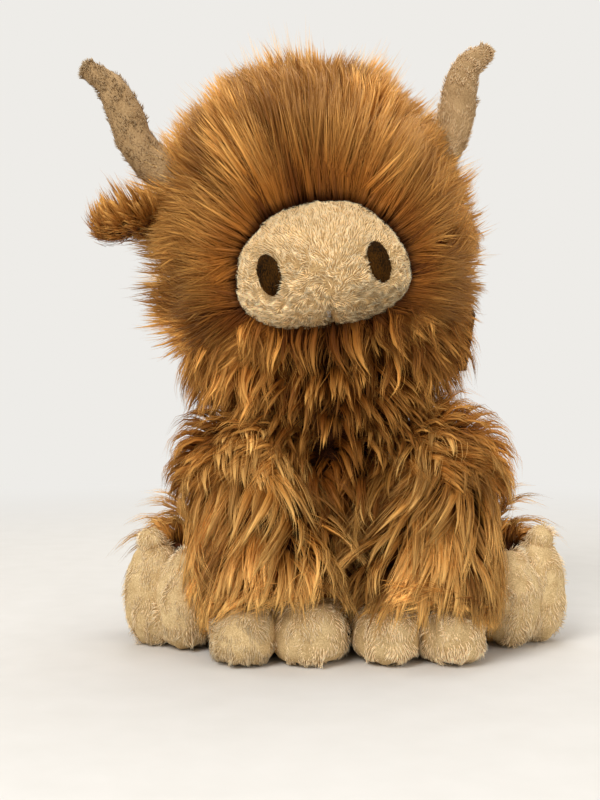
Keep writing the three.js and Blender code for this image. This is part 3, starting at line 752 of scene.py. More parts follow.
beard = {
    **commonHair, "locks": 380, "chinLocks": 100, "hairs": 8, "spread": 8.5, "tipSpread": 0.24, "flat": 0.5,
    "stray": 1.1, "wave": 6.0, "waves": 1.0, "wide": 0.28, "thick": 0.18, "steps": 7, "lift": 11, "body": 0.42,
    "length": 40, "chinLength": 37, "hem": 142, "golden": (-56, 166), "lockTone": 0.2, "hairTone": 0.08,
    "seed": 23,
}


def addBeard():
    # wavy locks under the cheeks, out of the ground and then hanging, and more that hang under the muzzle
    look = beard
    rng = np.random.default_rng(look["seed"])
    ways, out, root, keep = headRoots(look["locks"] * 7, rng)
    keep &= (ways[:, 2] < -0.3) & (ways[:, 1] < 0.3) & (ways[:, 2] > -0.93)
    ways, out, root = choose(keep, look["locks"], rng, ways, out, root)
    count = look["chinLocks"]
    across = rng.uniform(-0.9, 0.9, count)
    ahead = rng.uniform(-0.55, 0.12, count) * np.sqrt(1 - across**2)
    fall = np.sqrt(1 - ahead**2 - across**2)
    chin = muzzleForm["middle"] + xyz(
        across * muzzleForm["halfWidth"], -ahead * muzzleForm["halfDepth"], -fall * muzzleForm["down"] + 4,
    )
    chinOut = unit(xyz(across * 0.4, -0.35, -0.9))
    isChin = np.arange(len(ways) + count) >= len(ways)
    ways, out = turnHead(np.concatenate([ways, chinOut])), turnHead(np.concatenate([out, chinOut]))
    root = fromHead(np.concatenate([root, chin]))
    flow = xyz(0.32 * ways[:, 0], 0.2 * ways[:, 1], -1.0) + isChin[:, None] * xyz(0.5 * ways[:, 0], -0.16, 0)
    flow = unit(flow + 0.4 * drift(root, 30, 14)[:, None] * np.cross(out, unit(flow)))
    room = root[:, 2] - look["hem"] - 9 * smooth(40, 85, np.abs(root[:, 0] + 8)) - scatter(rng, ways, 4)
    length = np.where(isChin, look["chinLength"], look["length"]) * rng.uniform(0.75, 1.2, len(ways))
    shift = np.clip(length, 8, room / -flow[:, 2])
    rise = np.where(isChin, 2, 25) + 4 * drift(root, 24, 3) + scatter(rng, ways, 2)
    over, tip = lying(root, out, flow, shift, rise, np.where(isChin, 1.0, 0.5 * look["lift"]))
    # the chin's locks, under the muzzle, are darker: painted shade
    base = 0.3 + 0.36 * drift(root, 17, 31) - 0.1 * isChin
    aside, above = root[:, 0] - look["golden"][0], root[:, 2] - 8 - look["golden"][1]
    base += 0.32 * np.exp(-((aside / 20) ** 2) - (above / 22) ** 2)  # a golden clump
    # darker in the middle under the muzzle: painted shade
    base += 0.04 * smooth(15, 50, root[:, 0]) - 0.18 * smooth(45, 12, np.abs(root[:, 0] + 2))
    lockHair("headBeard", "head", root, out, over, tip, look, base, rng, furHair)


addHeadPelt()
addHeadHair()
addFringe()
addHeadBack()
addBeard()
print("head covered")


# The torso and the neck

torsoForm = {
    "middle": (0, 12, 62), "halfWidth": 86, "halfDepth": 60, "up": 80, "down": 62.5, "fullUp": 2.2,
    "fullDown": 5, "pile": 15,
}
shoulder = {"spread": 56, "ahead": 22, "height": 102, "radius": 33}
hip = {"spread": 72, "back": 14, "height": 36}
torsoPelt = {"depth": 9, "around": 72, "rings": 40}
torsoHair = {
    **commonHair, "locks": 1150, "hairs": 5, "spread": 6.5, "tipSpread": 0.4, "gather": 1.3, "stray": 1.1,
    "wave": 2.2, "wide": 0.34, "thick": 0.2, "length": 42, "lockTone": 0.08, "seed": 31,
}


def addTorso():
    ways = ballGrid(torsoPelt["around"], torsoPelt["rings"])
    grid = pillow(torsoForm, ways) - pillowOut(torsoForm, ways) * torsoPelt["depth"]
    low = np.maximum(grid[..., 2] - torsoPelt["depth"], floorGap)  # the seat goes down to the floor
    grid[..., 2] = np.where(ways[..., 2] < -0.6, low, grid[..., 2])
    show(closedSheet("torsoPelt", grid), furGround, "torso", ["torso_skin"])

    look = torsoHair
    rng = np.random.default_rng(look["seed"])
    ways = spreadWays(int(look["locks"] * 1.25), rng)
    ways = ways[(ways[:, 2] > -0.75) & (ways[:, 2] < 0.97)]
    ways = ways[(ways[:, 1] > -0.1) | (rng.uniform(size=len(ways)) < 0.45)]
    out = pillowOut(torsoForm, ways)
    root = pillow(torsoForm, ways) - out * torsoForm["pile"]
    flow = tangent(np.broadcast_to([0, 0, -1.0], out.shape), out) + 0.2 * out * [1, 1, 0]
    flow = swerve(flow, out, 0.3 * drift(root, 40, 4))
    shift = look["length"] * rng.uniform(0.8, 1.15, len(ways)) * mix(1, 0.55, smooth(60, 15, root[:, 2]))
    rise = 5 + 4 * drift(root, 26, 9) + scatter(rng, ways, 2)
    over, tip = layOver(ontoPillow, torsoForm, root, flow, shift, rise, 0.45, 0.5)
    # darker towards the front, behind the legs and under the beard: painted shade
    base = 0.38 + 0.15 * drift(root, 35, 6) - 0.3 * smooth(0.3, 0.8, -ways[:, 1])
    front = ways[:, 1] < 0
    for name, part in (("torsoHairFront", front), ("torsoHairBack", ~front)):
        lockHair(name, "torso", root[part], out[part], over[part], tip[part], look, base[part], rng, furHair)


chestHair = {
    **commonHair, "locks": 170, "hairs": 8, "spread": 8, "tipSpread": 0.36, "stray": 1.4, "wave": 4.0,
    "wide": 0.3, "thick": 0.18, "body": 0.5, "length": 36, "pile": 11, "rise": 13, "across": 40,
    "heights": (58, 140), "lockTone": 0.13, "hairTone": 0.08, "seed": 33,
}


def addChest():
    # longer locks between the shoulders, hanging over the front of the torso, made dark as painted shade under
    # the beard
    look = chestHair
    rng = np.random.default_rng(look["seed"])
    across = rng.uniform(-look["across"], look["across"], look["locks"])
    height = rng.uniform(*look["heights"], look["locks"])
    ahead = mix(-45, -14, smooth(95, 140, height))
    surface = ontoPillow(torsoForm, xyz(across, ahead, height), np.zeros(len(across)))
    out = outAt(torsoForm, surface)
    root = surface - out * look["pile"]
    flow = swerve(tangent(xyz(-0.004 * across, -0.1, -1.0), out), out, 0.35 * drift(root, 25, 4))
    shift = look["length"] * rng.uniform(0.7, 1.2, len(root))
    rise = look["rise"] + 8 * smooth(95, 130, height) + 6 * drift(root, 16, 9) + scatter(rng, root, 2.5)
    over, tip = layOver(ontoPillow, torsoForm, root, flow, shift, rise, 0.4, 0.75)
    # very dark: painted shade between the legs and under the beard
    base = 0.05 + 0.26 * drift(root, 13, 7)
    lockHair("chestHair", "torso", root, out, over, tip, look, base, rng, furHair)


neckSleeve = {"radius": 44, "up": 24, "down": 40, "fullUp": 3, "fullDown": 2.4, "around": 48, "rings": 24}
neckHair = {
    **commonHair, "locks": 190, "hairs": 5, "spread": 6, "tipSpread": 0.35, "stray": 1.2, "wave": 2.0,
    "wide": 0.4, "thick": 0.24, "shortest": 0.7, "lift": 4, "levels": (-14, 18), "length": 30, "lockTone": 0.12,
    "hairTone": 0.09, "seed": 41,
}


def addNeck():
    # a sleeve round the neck's ball, under a ring of hanging hair
    look = neckSleeve
    middle = headPlace["neck"]
    sleeve = {**look, "middle": middle, "halfWidth": look["radius"], "halfDepth": look["radius"]}
    grid = pillow(sleeve, ballGrid(look["around"], look["rings"]))
    show(closedSheet("neckSleeve", grid), furGround, "neck")

    look = neckHair
    rng = np.random.default_rng(look["seed"])
    turn = rng.uniform(0, 2 * math.pi, look["locks"])
    level = rng.uniform(*look["levels"], look["locks"])
    out = xyz(np.cos(turn), np.sin(turn), 0.0)
    root = middle + out * (neckSleeve["radius"] - 1) + [0, 0, 1] * level[:, None]
    behind = smooth(-0.2, 0.5, out[:, 1])
    flow = unit(out * mix(0.9, 0.45, behind)[:, None] + [0, 0, -1.0])
    shift = look["length"] * rng.uniform(0.8, 1.2, len(turn)) * mix(1, 0.85, behind)
    rise = mix(12, 8, behind) + scatter(rng, turn, 2)
    over, tip = lying(root, out, flow, shift, rise, look["lift"])
    # darker at the front, under the head: painted shade
    base = 0.15 + 0.12 * drift(root, 30, 12) + 0.2 * behind
    lockHair("neckHair", "neck", root, out, over, tip, look, base, rng, furHair)


addTorso()
addChest()
addNeck()
print("torso and neck covered")


# The legs

def throughPoints(points, count):
    # a smooth curve through the points: the Catmull-Rom cubic between each pair, at even steps of its length
    points = np.asarray(points, float)
    ends = np.concatenate([[2 * points[0] - points[1]], points, [2 * points[-1] - points[-2]]])
    t = np.linspace(0, 1, 24, endpoint=False)[:, None]
    parts = [
        0.5 * (2 * b + (c - a) * t + (2 * a - 5 * b + 4 * c - d) * t**2 + (3 * b - a - 3 * c + d) * t**3)
        for a, b, c, d in zip(ends, ends[1:], ends[2:], ends[3:])
    ]
    line = np.concatenate([*parts, points[-1:]])
    lengths = np.concatenate([[0], np.cumsum(np.linalg.norm(np.diff(line, axis=0), axis=1))])
    at = np.linspace(0, lengths[-1], count)
    return np.stack([np.interp(at, lengths, line[:, k]) for k in range(line.shape[1])], -1)


def rowsAt(table, at):
    # a table's columns read between its rows
    return np.stack([np.interp(at, np.arange(len(table)), column) for column in table.T], -1)


def limbShape(joint, way, sizes):
    # the joint, the axis, the outward and the upward direction across it, and the outline's two columns
    way = unit(np.array(way, float))
    outward = np.array([math.copysign(1, joint[0]), 0, 0])
    outward = unit(outward - way * (outward @ way))
    shaft = throughPoints([
        (0, sizes["joint"]), (sizes["length"] * 0.45, sizes["waist"]), (sizes["length"] * 0.8, sizes["skirt"]),
        (sizes["length"] * 0.97, sizes["skirt"] * 0.72), (sizes["length"], 0),
    ], 60)
    turn = np.linspace(-math.pi / 2, 0, 12, endpoint=False)
    cap = np.stack([sizes["joint"] * np.sin(turn), sizes["joint"] * np.cos(turn)], -1)
    outline = np.concatenate([cap, shaft])
    return {"joint": np.array(joint, float), "way": way, "outward": outward, "over": np.cross(way, outward),
            "outline": outline, "skirtAt": sizes["length"] * 0.8}


def onLimb(limb, share, turn, depth=0.0):
    # the point that share of the way along the outline, turned about the axis, and the way out of it
    outline = limb["outline"]
    at = share * (len(outline) - 1)
    columns = (*outline.T, *np.gradient(outline, axis=0).T)
    along, radius, alongStep, radiusStep = (np.interp(at, np.arange(len(outline)), c) for c in columns)
    ring = np.cos(turn)[..., None] * limb["outward"] + np.sin(turn)[..., None] * limb["over"]
    out = unit(ring * alongStep[..., None] - limb["way"] * radiusStep[..., None])
    return limb["joint"] + limb["way"] * along[..., None] + ring * radius[..., None] - out * depth, out


def ontoLimb(limb, points, grow):
    # the points carried onto the limb and out by grow: onto a ball behind the joint, and ahead of it to the
    # outline's radius, which stays the skirt's beyond the skirt
    at = points - limb["joint"]
    along = at @ limb["way"]
    side = unit(at - along[:, None] * limb["way"])
    radius = np.interp(np.clip(along, 0, limb["skirtAt"]), *limb["outline"].T)
    shaft = along[:, None] * limb["way"] + side * (radius + grow)[:, None]
    ball = unit(at) * (radius + grow)[:, None]
    return limb["joint"] + np.where(along[:, None] < 0, ball, shaft)


frontLeg = {
    "joint": 33, "waist": 31, "skirt": 36, "length": 99, "reach": 44, "inward": 15, "ankle": 20, "pile": 11,
    "peltDepth": 7,
}
frontHair = {
    **commonHair, "locks": 480, "hairs": 10, "spread": 9, "tipSpread": 0.42, "gather": 1.4, "flat": 0.3,
    "stray": 1.1, "wave": 3.4, "wide": 0.27, "thick": 0.16, "steps": 6, "shortest": 0.68, "body": 0.42,
    "bodyFlat": 0.25, "length": 62, "shares": (0.03, 0.88), "lockTone": 0.13, "hem": {-1: 22, 1: 17}, "fan": 0.5,
    "sweep": {-1: -0.06, 1: -0.34}, "shoulder": 9, "inner": 27, "seed": 51,
}
ruff = {
    **commonHair, "locks": 180, "hairs": 9, "spread": 8, "tipSpread": 0.36, "flat": 0.35, "stray": 1.1,
    "wave": 2.6, "waves": 0.7, "wide": 0.27, "thick": 0.17, "shortest": 0.6, "body": 0.42, "length": 12,
    "pile": 13, "puff": {-1: 19, 1: 21}, "aside": {-1: 0.8, 1: 0.45}, "lockTone": 0.1, "seed": 37,
}


limbGrid = {"shares": (0.02, 0.985), "rings": 30, "around": 40}


def limbPelt(name, body, limb, depth, replaced):
    turn = np.arange(limbGrid["around"]) * 2 * math.pi / limbGrid["around"]
    share, turn = np.meshgrid(np.linspace(*limbGrid["shares"], limbGrid["rings"]), turn, indexing="ij")
    grid, _ = onLimb(limb, share, turn, depth)
    grid[..., 2] = np.maximum(grid[..., 2], floorGap)
    show(closedSheet(name, grid), furGround, body, [replaced])


def frontLimb(side):
    joint = (side * shoulder["spread"], -shoulder["ahead"], shoulder["height"])
    way = (-side * frontLeg["inward"], -frontLeg["reach"], frontLeg["ankle"] - shoulder["height"])
    return limbShape(joint, way, frontLeg)


def addFrontLeg(side):
    word = sideWord(side)
    body = word + "_front_leg"
    limb = frontLimb(side)
    limbPelt(f"frontLegPelt.{word}", body, limb, frontLeg["peltDepth"], f"front_leg_{word}_skin")

    # the locks fan out over the front of the limb, fluff out at the shoulder and hang over the hoof
    look = frontHair
    rng = np.random.default_rng(look["seed"] + side)
    share = rng.uniform(*look["shares"], look["locks"] * 2)
    turn = rng.uniform(-math.pi, math.pi, look["locks"] * 2)
    root, out = onLimb(limb, share, turn, frontLeg["pile"])
    chosen = np.flatnonzero(inForm(torsoForm, root, -12) > 1)[: look["locks"]]
    share, root, out = share[chosen], root[chosen], out[chosen]
    outward = np.clip(out[:, 0] * side, -1, 1)
    high = smooth(0.6, 0.25, share)
    spread = look["fan"] * (0.5 + 0.5 * share) * mix(1, 0.15, smooth(0, 0.7, -outward))
    fall = xyz(spread * out[:, 0] + look["sweep"][side] * (0.3 + 0.7 * high), -0.42, -0.85)
    atHoof = smooth(0.7, 0.82, share)
    flow = tangent(mix(fall, limb["way"], atHoof[:, None]), out)
    flow = swerve(flow, out, 0.24 * drift(root, 42, 7) + scatter(rng, root, 0.08))
    shift = look["length"] * rng.uniform(0.8, 1.15, len(root))
    room = (root[:, 2] - look["hem"][side] - scatter(rng, root, 4)) / np.maximum(-flow[:, 2], 0.4)
    shift = np.clip(room, mix(16, 9, atHoof), shift)
    upper = smooth(25, 75, root[:, 2])
    rise = 3 + 2.5 * drift(root, 24, 2) + scatter(rng, root, 0.8)
    rise += look["shoulder"] * smooth(0.0, 0.8, outward) * upper
    rise += look["inner"] * smooth(0.1, 0.85, -outward) * upper * smooth(130, 98, root[:, 2])
    over, tip = layOver(ontoLimb, limb, root, flow, shift, rise, 0.45, 0.6, 0.5)
    # the left leg's top lighter and the right leg's top darker, painted light from the key lamp on the left;
    # darker near the shoulder, painted shade under the ruff
    base = 0.4 + 0.19 * drift(root, 22, 3) - 0.07 * side * high - 0.1 * smooth(0.35, 0.1, share)
    # painted shade at the inner side and between the two legs, and painted light on the left leg, more towards
    # its foot
    base -= 0.2 * smooth(0.2, 0.85, -outward) * high + 0.34 * smooth(15, 3, np.abs(tip[:, 0] + 4))
    base += (side < 0) * (0.07 + 0.12 * smooth(70, 25, root[:, 2]))
    lockHair(f"frontLegHair.{word}", body, root, out, over, tip, look, base, rng, legHair)


def addRuff(side):
    # the torso's fur over a shoulder: locks that stand out of it and turn down over the top of the leg
    look = ruff
    rng = np.random.default_rng(look["seed"] + side)
    limb = frontLimb(side)
    ways = spreadWays(look["locks"] * 4, rng)
    chosen = (ways[:, 2] > -0.1) & (ways[:, 0] * side > -0.8) & (ways[:, 1] < 0.8)
    out = ways[rng.permutation(np.flatnonzero(chosen))[: look["locks"]]]
    root = limb["joint"] + out * (shoulder["radius"] - look["pile"])
    flow = tangent(np.broadcast_to([0.9 * side, -0.15, -0.6], out.shape), out)
    flow = swerve(flow, out, 0.3 * drift(root, 22, 4))
    # they stand out at the top and the outer side, and run longer and close to the leg over its front
    aside = look["aside"][side] * smooth(0.0, 0.7, out[:, 0] * side)
    ahead = smooth(0.3, -0.5, out[:, 1])
    above = smooth(0.1, 0.8, out[:, 2]) * mix(1, 0.2, ahead) * smooth(-0.7, 0.1, out[:, 0] * side)
    proud = np.maximum(above, aside)
    shift = look["length"] * mix(3, 1, proud) * rng.uniform(0.6, 1.25, len(root))
    rise = look["puff"][side] * mix(0.2, 1, proud) + mix(1.5, 3.5, proud) * drift(root, 15, 9)
    rise += scatter(rng, root, mix(0.8, 2.2, proud))
    over, tip = layOver(ontoLimb, limb, root, flow, shift, rise, 0.35, 0.75)
    base = 0.39 + 0.18 * drift(root, 20, 3) + 0.24 * (side > 0) * proud
    # darker at the top of the front, under the head: painted shade
    base -= 0.14 * ahead * smooth(0.2, 0.7, out[:, 2])
    lockHair(f"shoulderRuff.{sideWord(side)}", "torso", root, out, over, tip, look, base, rng, furHair)


hindLeg = {
    "joint": 29, "waist": 29, "skirt": 31, "length": 56, "pile": 10, "peltDepth": 7, "yaw": {-1: 31, 1: 36},
}
hindHair = {
    **commonHair, "locks": 250, "hairs": 8, "spread": 7, "tipSpread": 0.34, "wave": 2.4, "waves": 0.9,
    "wide": 0.3, "thick": 0.2, "shortest": 0.75, "body": 0.5, "length": 30, "least": 6, "puff": 27,
    "shares": (0.03, 0.86), "furthest": 45, "end": 54, "lowest": 5, "lockTone": 0.12, "hairTone": 0.1,
    "seed": 61,
}


def turnedAboutZ(turn):
    return np.array([[math.cos(turn), -math.sin(turn), 0], [math.sin(turn), math.cos(turn), 0], [0, 0, 1]])


def legFrame(side):
    # the hind leg's own frame: turned about Z at the hip
    yaw = math.radians(hindLeg["yaw"][side]) * side
    return np.array([side * hip["spread"], hip["back"], hip["height"]], float), turnedAboutZ(yaw)


def addHindLeg(side):
    word = sideWord(side)
    body = word + "_hind_leg"
    joint, turned = legFrame(side)
    limb = limbShape(joint, turned @ [0, -1, 0], hindLeg)
    limbPelt(f"hindLegPelt.{word}", body, limb, hindLeg["peltDepth"], f"hind_leg_{word}_skin")

    # the haunch's locks stand up behind the hoof and lie shorter towards it
    look = hindHair
    rng = np.random.default_rng(look["seed"] + side)
    share = rng.uniform(*look["shares"], look["locks"] * 3)
    turn = rng.uniform(-math.pi, math.pi, look["locks"] * 3)
    root, out = onLimb(limb, share, turn, hindLeg["pile"])
    along = (root - joint) @ limb["way"]
    keep = (inForm(torsoForm, root, -10) > 1) & (root[:, 2] > look["lowest"]) & (along < look["furthest"])
    chosen = np.flatnonzero(keep)[: look["locks"]]
    root, out, along = root[chosen], out[chosen], along[chosen]
    above = smooth(0.0, 0.8, out[:, 2])
    flow = tangent(np.broadcast_to(limb["way"] * 0.6 + [0, 0, -0.5], out.shape), out)
    shift = look["length"] * rng.uniform(0.7, 1.15, len(root))
    shift = np.clip(shift, look["least"], np.maximum(look["end"] - along, look["least"]))
    rise = 4 + look["puff"] * above * smooth(38, 10, along)
    rise = rise + 3 * drift(root, 22, 2) + scatter(rng, root, 1.5)
    over, tip = layOver(ontoLimb, limb, root, flow, shift, rise, 0.4, 0.7)
    base = 0.42 + 0.15 * drift(root, 20, 3)
    lockHair(f"hindLegHair.{word}", body, root, out, over, tip, look, base, rng, legHair)


for legSide in (-1, 1):
    addFrontLeg(legSide)
    addRuff(legSide)
    addHindLeg(legSide)
print("legs covered")


# Short plush: hooves, muzzle and horns

nap = {"ground": -0.8, "deep": 0.6, "steps": 3, "taper": 1.6, "lowest": 0.4}  # the cloth lies inside the form


def shortPile(name, body, root, out, flow, look, base, rng, material):
    # single short hairs: out of the cloth, then over along the flow
    shift = look["length"] * rng.uniform(0.7, 1.2, len(root))
    rise = look["rise"] * rng.uniform(0.6, 1.3, len(root))
    tip = root + flow * shift[:, None] + out * rise[:, None]
    control = root + out * (rise * 0.9)[:, None] + flow * (shift * 0.35)[:, None]
    hairs = bend(root - out * nap["deep"], control, tip, nap["steps"])
    hairs[..., 2] = np.maximum(hairs[..., 2], nap["lowest"])
    tone = np.clip(base + scatter(rng, root, look["hairTone"]), 0, 1)
    show(hairMesh(name, hairs, out, look["wide"], look["thick"], tone, nap["taper"]), material, body)


hoofPile = {
    "wide": 0.42, "thick": 0.22, "length": 4.2, "rise": 0.8, "hairTone": 0.08, "around": 48, "rings": 32,
}
# the toes' tones, the toe at -X first: the left foot's outer toe darker as painted shade, the right foot's toes
# lighter as painted light
frontToe = {
    "halfWidth": 20, "halfDepth": 29, "height": 36, "spread": 18, "inward": 16, "ahead": 50, "hairs": 2500,
    "tones": {-1: (-0.24, 0.14), 1: (0.3, 0.3)}, "seed": 71,
}
hindToe = {
    "halfWidth": 18.5, "halfDepth": 18, "height": 64, "spread": 11, "ahead": 60, "inner": 0.9,
    "nub": 8.5, "nubHeight": 62, "nubAhead": 3, "hairs": 2100, "nubHairs": 300, "seed": 81,
}


def hoofBumps(points):
    return 0.5 * drift(points, 9, 3)


def dressHoof(name, body, forms, place, replaced, seed, counts):
    # the toes' grounds in one mesh, and hairs on each toe where no other toe covers it
    rng = np.random.default_rng(seed)
    grids, parts = [], []
    for form, count in zip(forms, counts):
        ways = ballGrid(hoofPile["around"], hoofPile["rings"])
        grid = pillow(form, ways, nap["ground"])
        grid = place(grid + pillowOut(form, ways) * hoofBumps(grid)[..., None])
        grid[..., 2] = np.maximum(grid[..., 2], floorGap)
        grids.append(grid)
        ways = spreadWays(count, rng)
        root, out = pillow(form, ways, nap["ground"]), pillowOut(form, ways)
        keep = np.all([inForm(other, root, -1) > 1 for other in forms if other is not form], 0)
        root = place(root + out * hoofBumps(root)[:, None])
        out = place(out) - place(np.zeros(3))
        parts.append((root[keep], out[keep], np.full(keep.sum(), form.get("tone", 0.0))))
    show(joinSheets(name, grids), plushGround, body, [replaced])
    root, out, tones = (np.concatenate(column) for column in zip(*parts))
    keep = root[:, 2] > 1.0
    root, out, tones = root[keep], out[keep], tones[keep]
    flow = unit(downAlong(out) + 0.5 * driftWay(root, 14, 1))
    base = 0.62 + tones + 0.1 * drift(root, 16, 5) + 0.15 * drift(root, 4.5, 6)
    shortPile(name + ".pile", body, root, out, flow, hoofPile, base, rng, plushHair)


def addFrontHoof(side):
    word, toe = sideWord(side), frontToe
    joint = np.array([side * shoulder["spread"], -shoulder["ahead"], shoulder["height"]], float)
    half = toe["height"] / 2
    forms = [{
        **toe, "middle": (place * toe["spread"] - side * toe["inward"], -toe["ahead"], half - 0.5 - joint[2]),
        "up": half, "down": half, "fullUp": 2.3, "fullDown": 3.6, "tone": tone,
    } for place, tone in zip((-1, 1), toe["tones"][side])]
    if side < 0:
        forms[1].update(halfWidth=22.5, up=half + 2)  # the bigger toe
    dressHoof(f"frontHoof.{word}", word + "_front_leg", forms, lambda p: p + joint,
              f"front_hoof_{word}", toe["seed"] + side, [toe["hairs"]] * 2)


def addHindHoof(side):
    word, toe = sideWord(side), hindToe
    joint, turned = legFrame(side)
    half, nub = toe["height"] / 2, toe["nub"]
    forms = [{
        **toe, "middle": (place * toe["spread"], -toe["ahead"], tall - 0.5 - hip["height"]),
        "up": tall, "down": tall, "fullDown": 2.3,
    } for place, tall in ((side, half), (-side, half * toe["inner"]))]
    forms.append({
        "middle": (side * toe["spread"], -toe["ahead"] - toe["nubAhead"], toe["nubHeight"] - hip["height"]),
        "halfWidth": nub, "halfDepth": nub, "up": nub, "down": nub,
    })
    dressHoof(f"hindHoof.{word}", word + "_hind_leg", forms, lambda p: p @ turned.T + joint,
              f"hind_hoof_{word}", toe["seed"] + side, [toe["hairs"], toe["hairs"], toe["nubHairs"]])


muzzle = {
    "swirl": (1, 56.4), "seamDepth": 3.4, "seamWidth": 2.0, "dimple": 1.8, "notch": 2.6, "notchWidth": 3.2,
    "rimDepth": 1.8, "nostril": 30.8, "nostrilRise": 4.5, "nostrilSize": (6.2, 11.5), "tilt": 9,
    "around": 132, "rings": 84,
}
muzzlePile = {
    "hairs": 11600, "wide": 0.29, "thick": 0.18, "length": 4.0, "rise": 1.2, "hairTone": 0.06, "seed": 91,
}


def nostrilPlace(points, side):
    # how far a point lies across and along a nostril's oval, as shares of its half sizes
    tilt = math.radians(muzzle["tilt"])
    x = points[..., 0] - side * muzzle["nostril"]
    z = points[..., 2] - muzzleForm["middle"][2] - muzzle["nostrilRise"]
    across = (x * math.cos(tilt) + z * math.sin(tilt)) / muzzle["nostrilSize"][0]
    tall = (-x * math.sin(tilt) + z * math.cos(tilt)) / muzzle["nostrilSize"][1]
    return across, tall


def muzzleRelief(points):
    # how far the plush is drawn in: at the seam below the swirl, at the swirl and round the nostrils
    x, z = points[..., 0], points[..., 2]
    isFront = points[..., 1] < -60
    seam = np.exp(-((x / muzzle["seamWidth"]) ** 2)) * smooth(52, 40, z) * isFront
    swirl = np.exp(-(((x - muzzle["swirl"][0]) ** 2 + (z - muzzle["swirl"][1]) ** 2) / 30))
    notch = np.exp(-((x / muzzle["notchWidth"]) ** 2)) * smooth(47, 41, z) * isFront
    depth = muzzle["seamDepth"] * seam + muzzle["dimple"] * swirl + muzzle["notch"] * notch
    for side in (-1, 1):
        across, tall = nostrilPlace(points, side)
        depth = depth + muzzle["rimDepth"] * smooth(1.7, 0.9, np.hypot(across, tall)) * isFront
    return depth


def muzzleBumps(points):
    return 0.35 * drift(points, 7, 3) + 0.5 * drift(points, 19, 4)


def addMuzzle():
    ways = ballGrid(muzzle["around"], muzzle["rings"])
    grid, out = pillow(muzzleForm, ways, nap["ground"]), pillowOut(muzzleForm, ways)
    grid = grid - out * muzzleRelief(grid)[..., None]
    grid = fromHead(grid + out * muzzleBumps(grid)[..., None])
    show(closedSheet("muzzlePlush", grid), muzzleGround, "head", ["muzzle_skin"])

    look = muzzlePile
    rng = np.random.default_rng(look["seed"])
    ways = spreadWays(look["hairs"] * 2, rng)
    ways = ways[ways[:, 1] < 0.12]
    root, out = pillow(muzzleForm, ways, nap["ground"]), pillowOut(muzzleForm, ways)
    keep = np.all([np.hypot(*nostrilPlace(root, side)) > 0.97 for side in (-1, 1)], 0)
    root, out = root[keep], out[keep]
    root = root + out * (muzzleBumps(root) - muzzleRelief(root))[:, None]
    # the hairs lie away from the swirl, turning round it close by, and curl a little
    away = (root - [muzzle["swirl"][0], 0, muzzle["swirl"][1]]) * [1, 0, 1]
    near = np.linalg.norm(away, axis=1, keepdims=True)
    away = unit(away)
    above = smooth(62, 88, root[:, 2])
    flow = away + np.cross(away, [0, 1, 0]) * 1.4 * np.exp(-near / 9)
    flow = tangent(flow + driftWay(root, 7, 6) * mix(0.75, 0.3, above)[:, None], out)
    base = mix(0.58, 0.62, above) + mix(0.27, 0.04, above) * drift(root, 4.6, 9) + 0.05 * drift(root, 24, 10)
    # painted shade in the seam and its notch, low on the right away from the key lamp, and along the bottom
    base -= 0.4 * np.exp(-((root[:, 0] / 1.6) ** 2)) * smooth(54, 48, root[:, 2])
    base -= 0.6 * np.exp(-((root[:, 0] / 3.2) ** 2)) * smooth(46, 41, root[:, 2])
    base -= 0.42 * smooth(-2, 26, root[:, 0]) * smooth(62, 48, root[:, 2]) + 0.3 * smooth(48, 41, root[:, 2])
    shortPile("muzzlePlush.pile", "head", fromHead(root), turnHead(out), turnHead(flow), look, base, rng,
              muzzleHair)


embroidery = {"threads": 22, "radius": 0.42, "steps": 15, "sides": 6, "dome": 1.6, "sunk": 1.4, "seed": 101}


def tubeGrid(path, radii, around, facing):
    # rings of a round tube along each path: the path + radius * (cos(turn) * side + sin(turn) * up)
    way = unit(np.gradient(path, axis=0))
    side = unit(np.cross(way, facing))
    up = np.cross(side, way)
    turn = -np.arange(around) * 2 * math.pi / around
    return path[:, None] + np.asarray(radii)[:, None, None] * (
        np.cos(turn)[:, None] * side[:, None] + np.sin(turn)[:, None] * up[:, None]
    )


def addNostril(side, material):
    # satin threads side by side down an oval, each a tube over the low dome of the padding under them
    look = embroidery
    rng = np.random.default_rng(look["seed"] + side)
    wide, tall = muzzle["nostrilSize"]
    tilt = math.radians(muzzle["tilt"])
    grids = []
    for across in np.linspace(-0.97, 0.97, look["threads"]):
        half = math.sqrt(1 - across**2) * tall + rng.uniform(-0.3, 0.3)
        z = np.linspace(half, -half, look["steps"])
        x = np.full(len(z), across * wide) + rng.uniform(-0.12, 0.12) + 0.2 * np.sin(z * 0.6 + across * 5)
        px = side * muzzle["nostril"] + x * math.cos(tilt) - z * math.sin(tilt)
        pz = muzzleForm["middle"][2] + muzzle["nostrilRise"] + x * math.sin(tilt) + z * math.cos(tilt)
        # the muzzle's surface there: y = middle - depth * sqrt(1 - x^2 - z^2) in shares of its half sizes
        x, _, up = muzzleForm["middle"]
        rx = (px - x) / muzzleForm["halfWidth"]
        rz = (pz - up) / np.where(pz > up, muzzleForm["up"], muzzleForm["down"])
        py = muzzleForm["middle"][1] - muzzleForm["halfDepth"] * np.sqrt(np.clip(1 - rx**2 - rz**2, 0.02, 1))
        bulge = look["dome"] * np.clip(1 - across**2 - (z / tall) ** 2, 0, 1) ** 0.5
        path = xyz(px, py - bulge + look["sunk"], pz)
        grids.append(fromHead(tubeGrid(path, np.full(len(z), look["radius"]), look["sides"], [0, -1.0, 0])))
    word = sideWord(side)
    show(joinSheets(f"nostril.{word}", grids), material, "head", [f"nostril_{word}"])


threadMaterial = clothMaterial("nostrilThread")

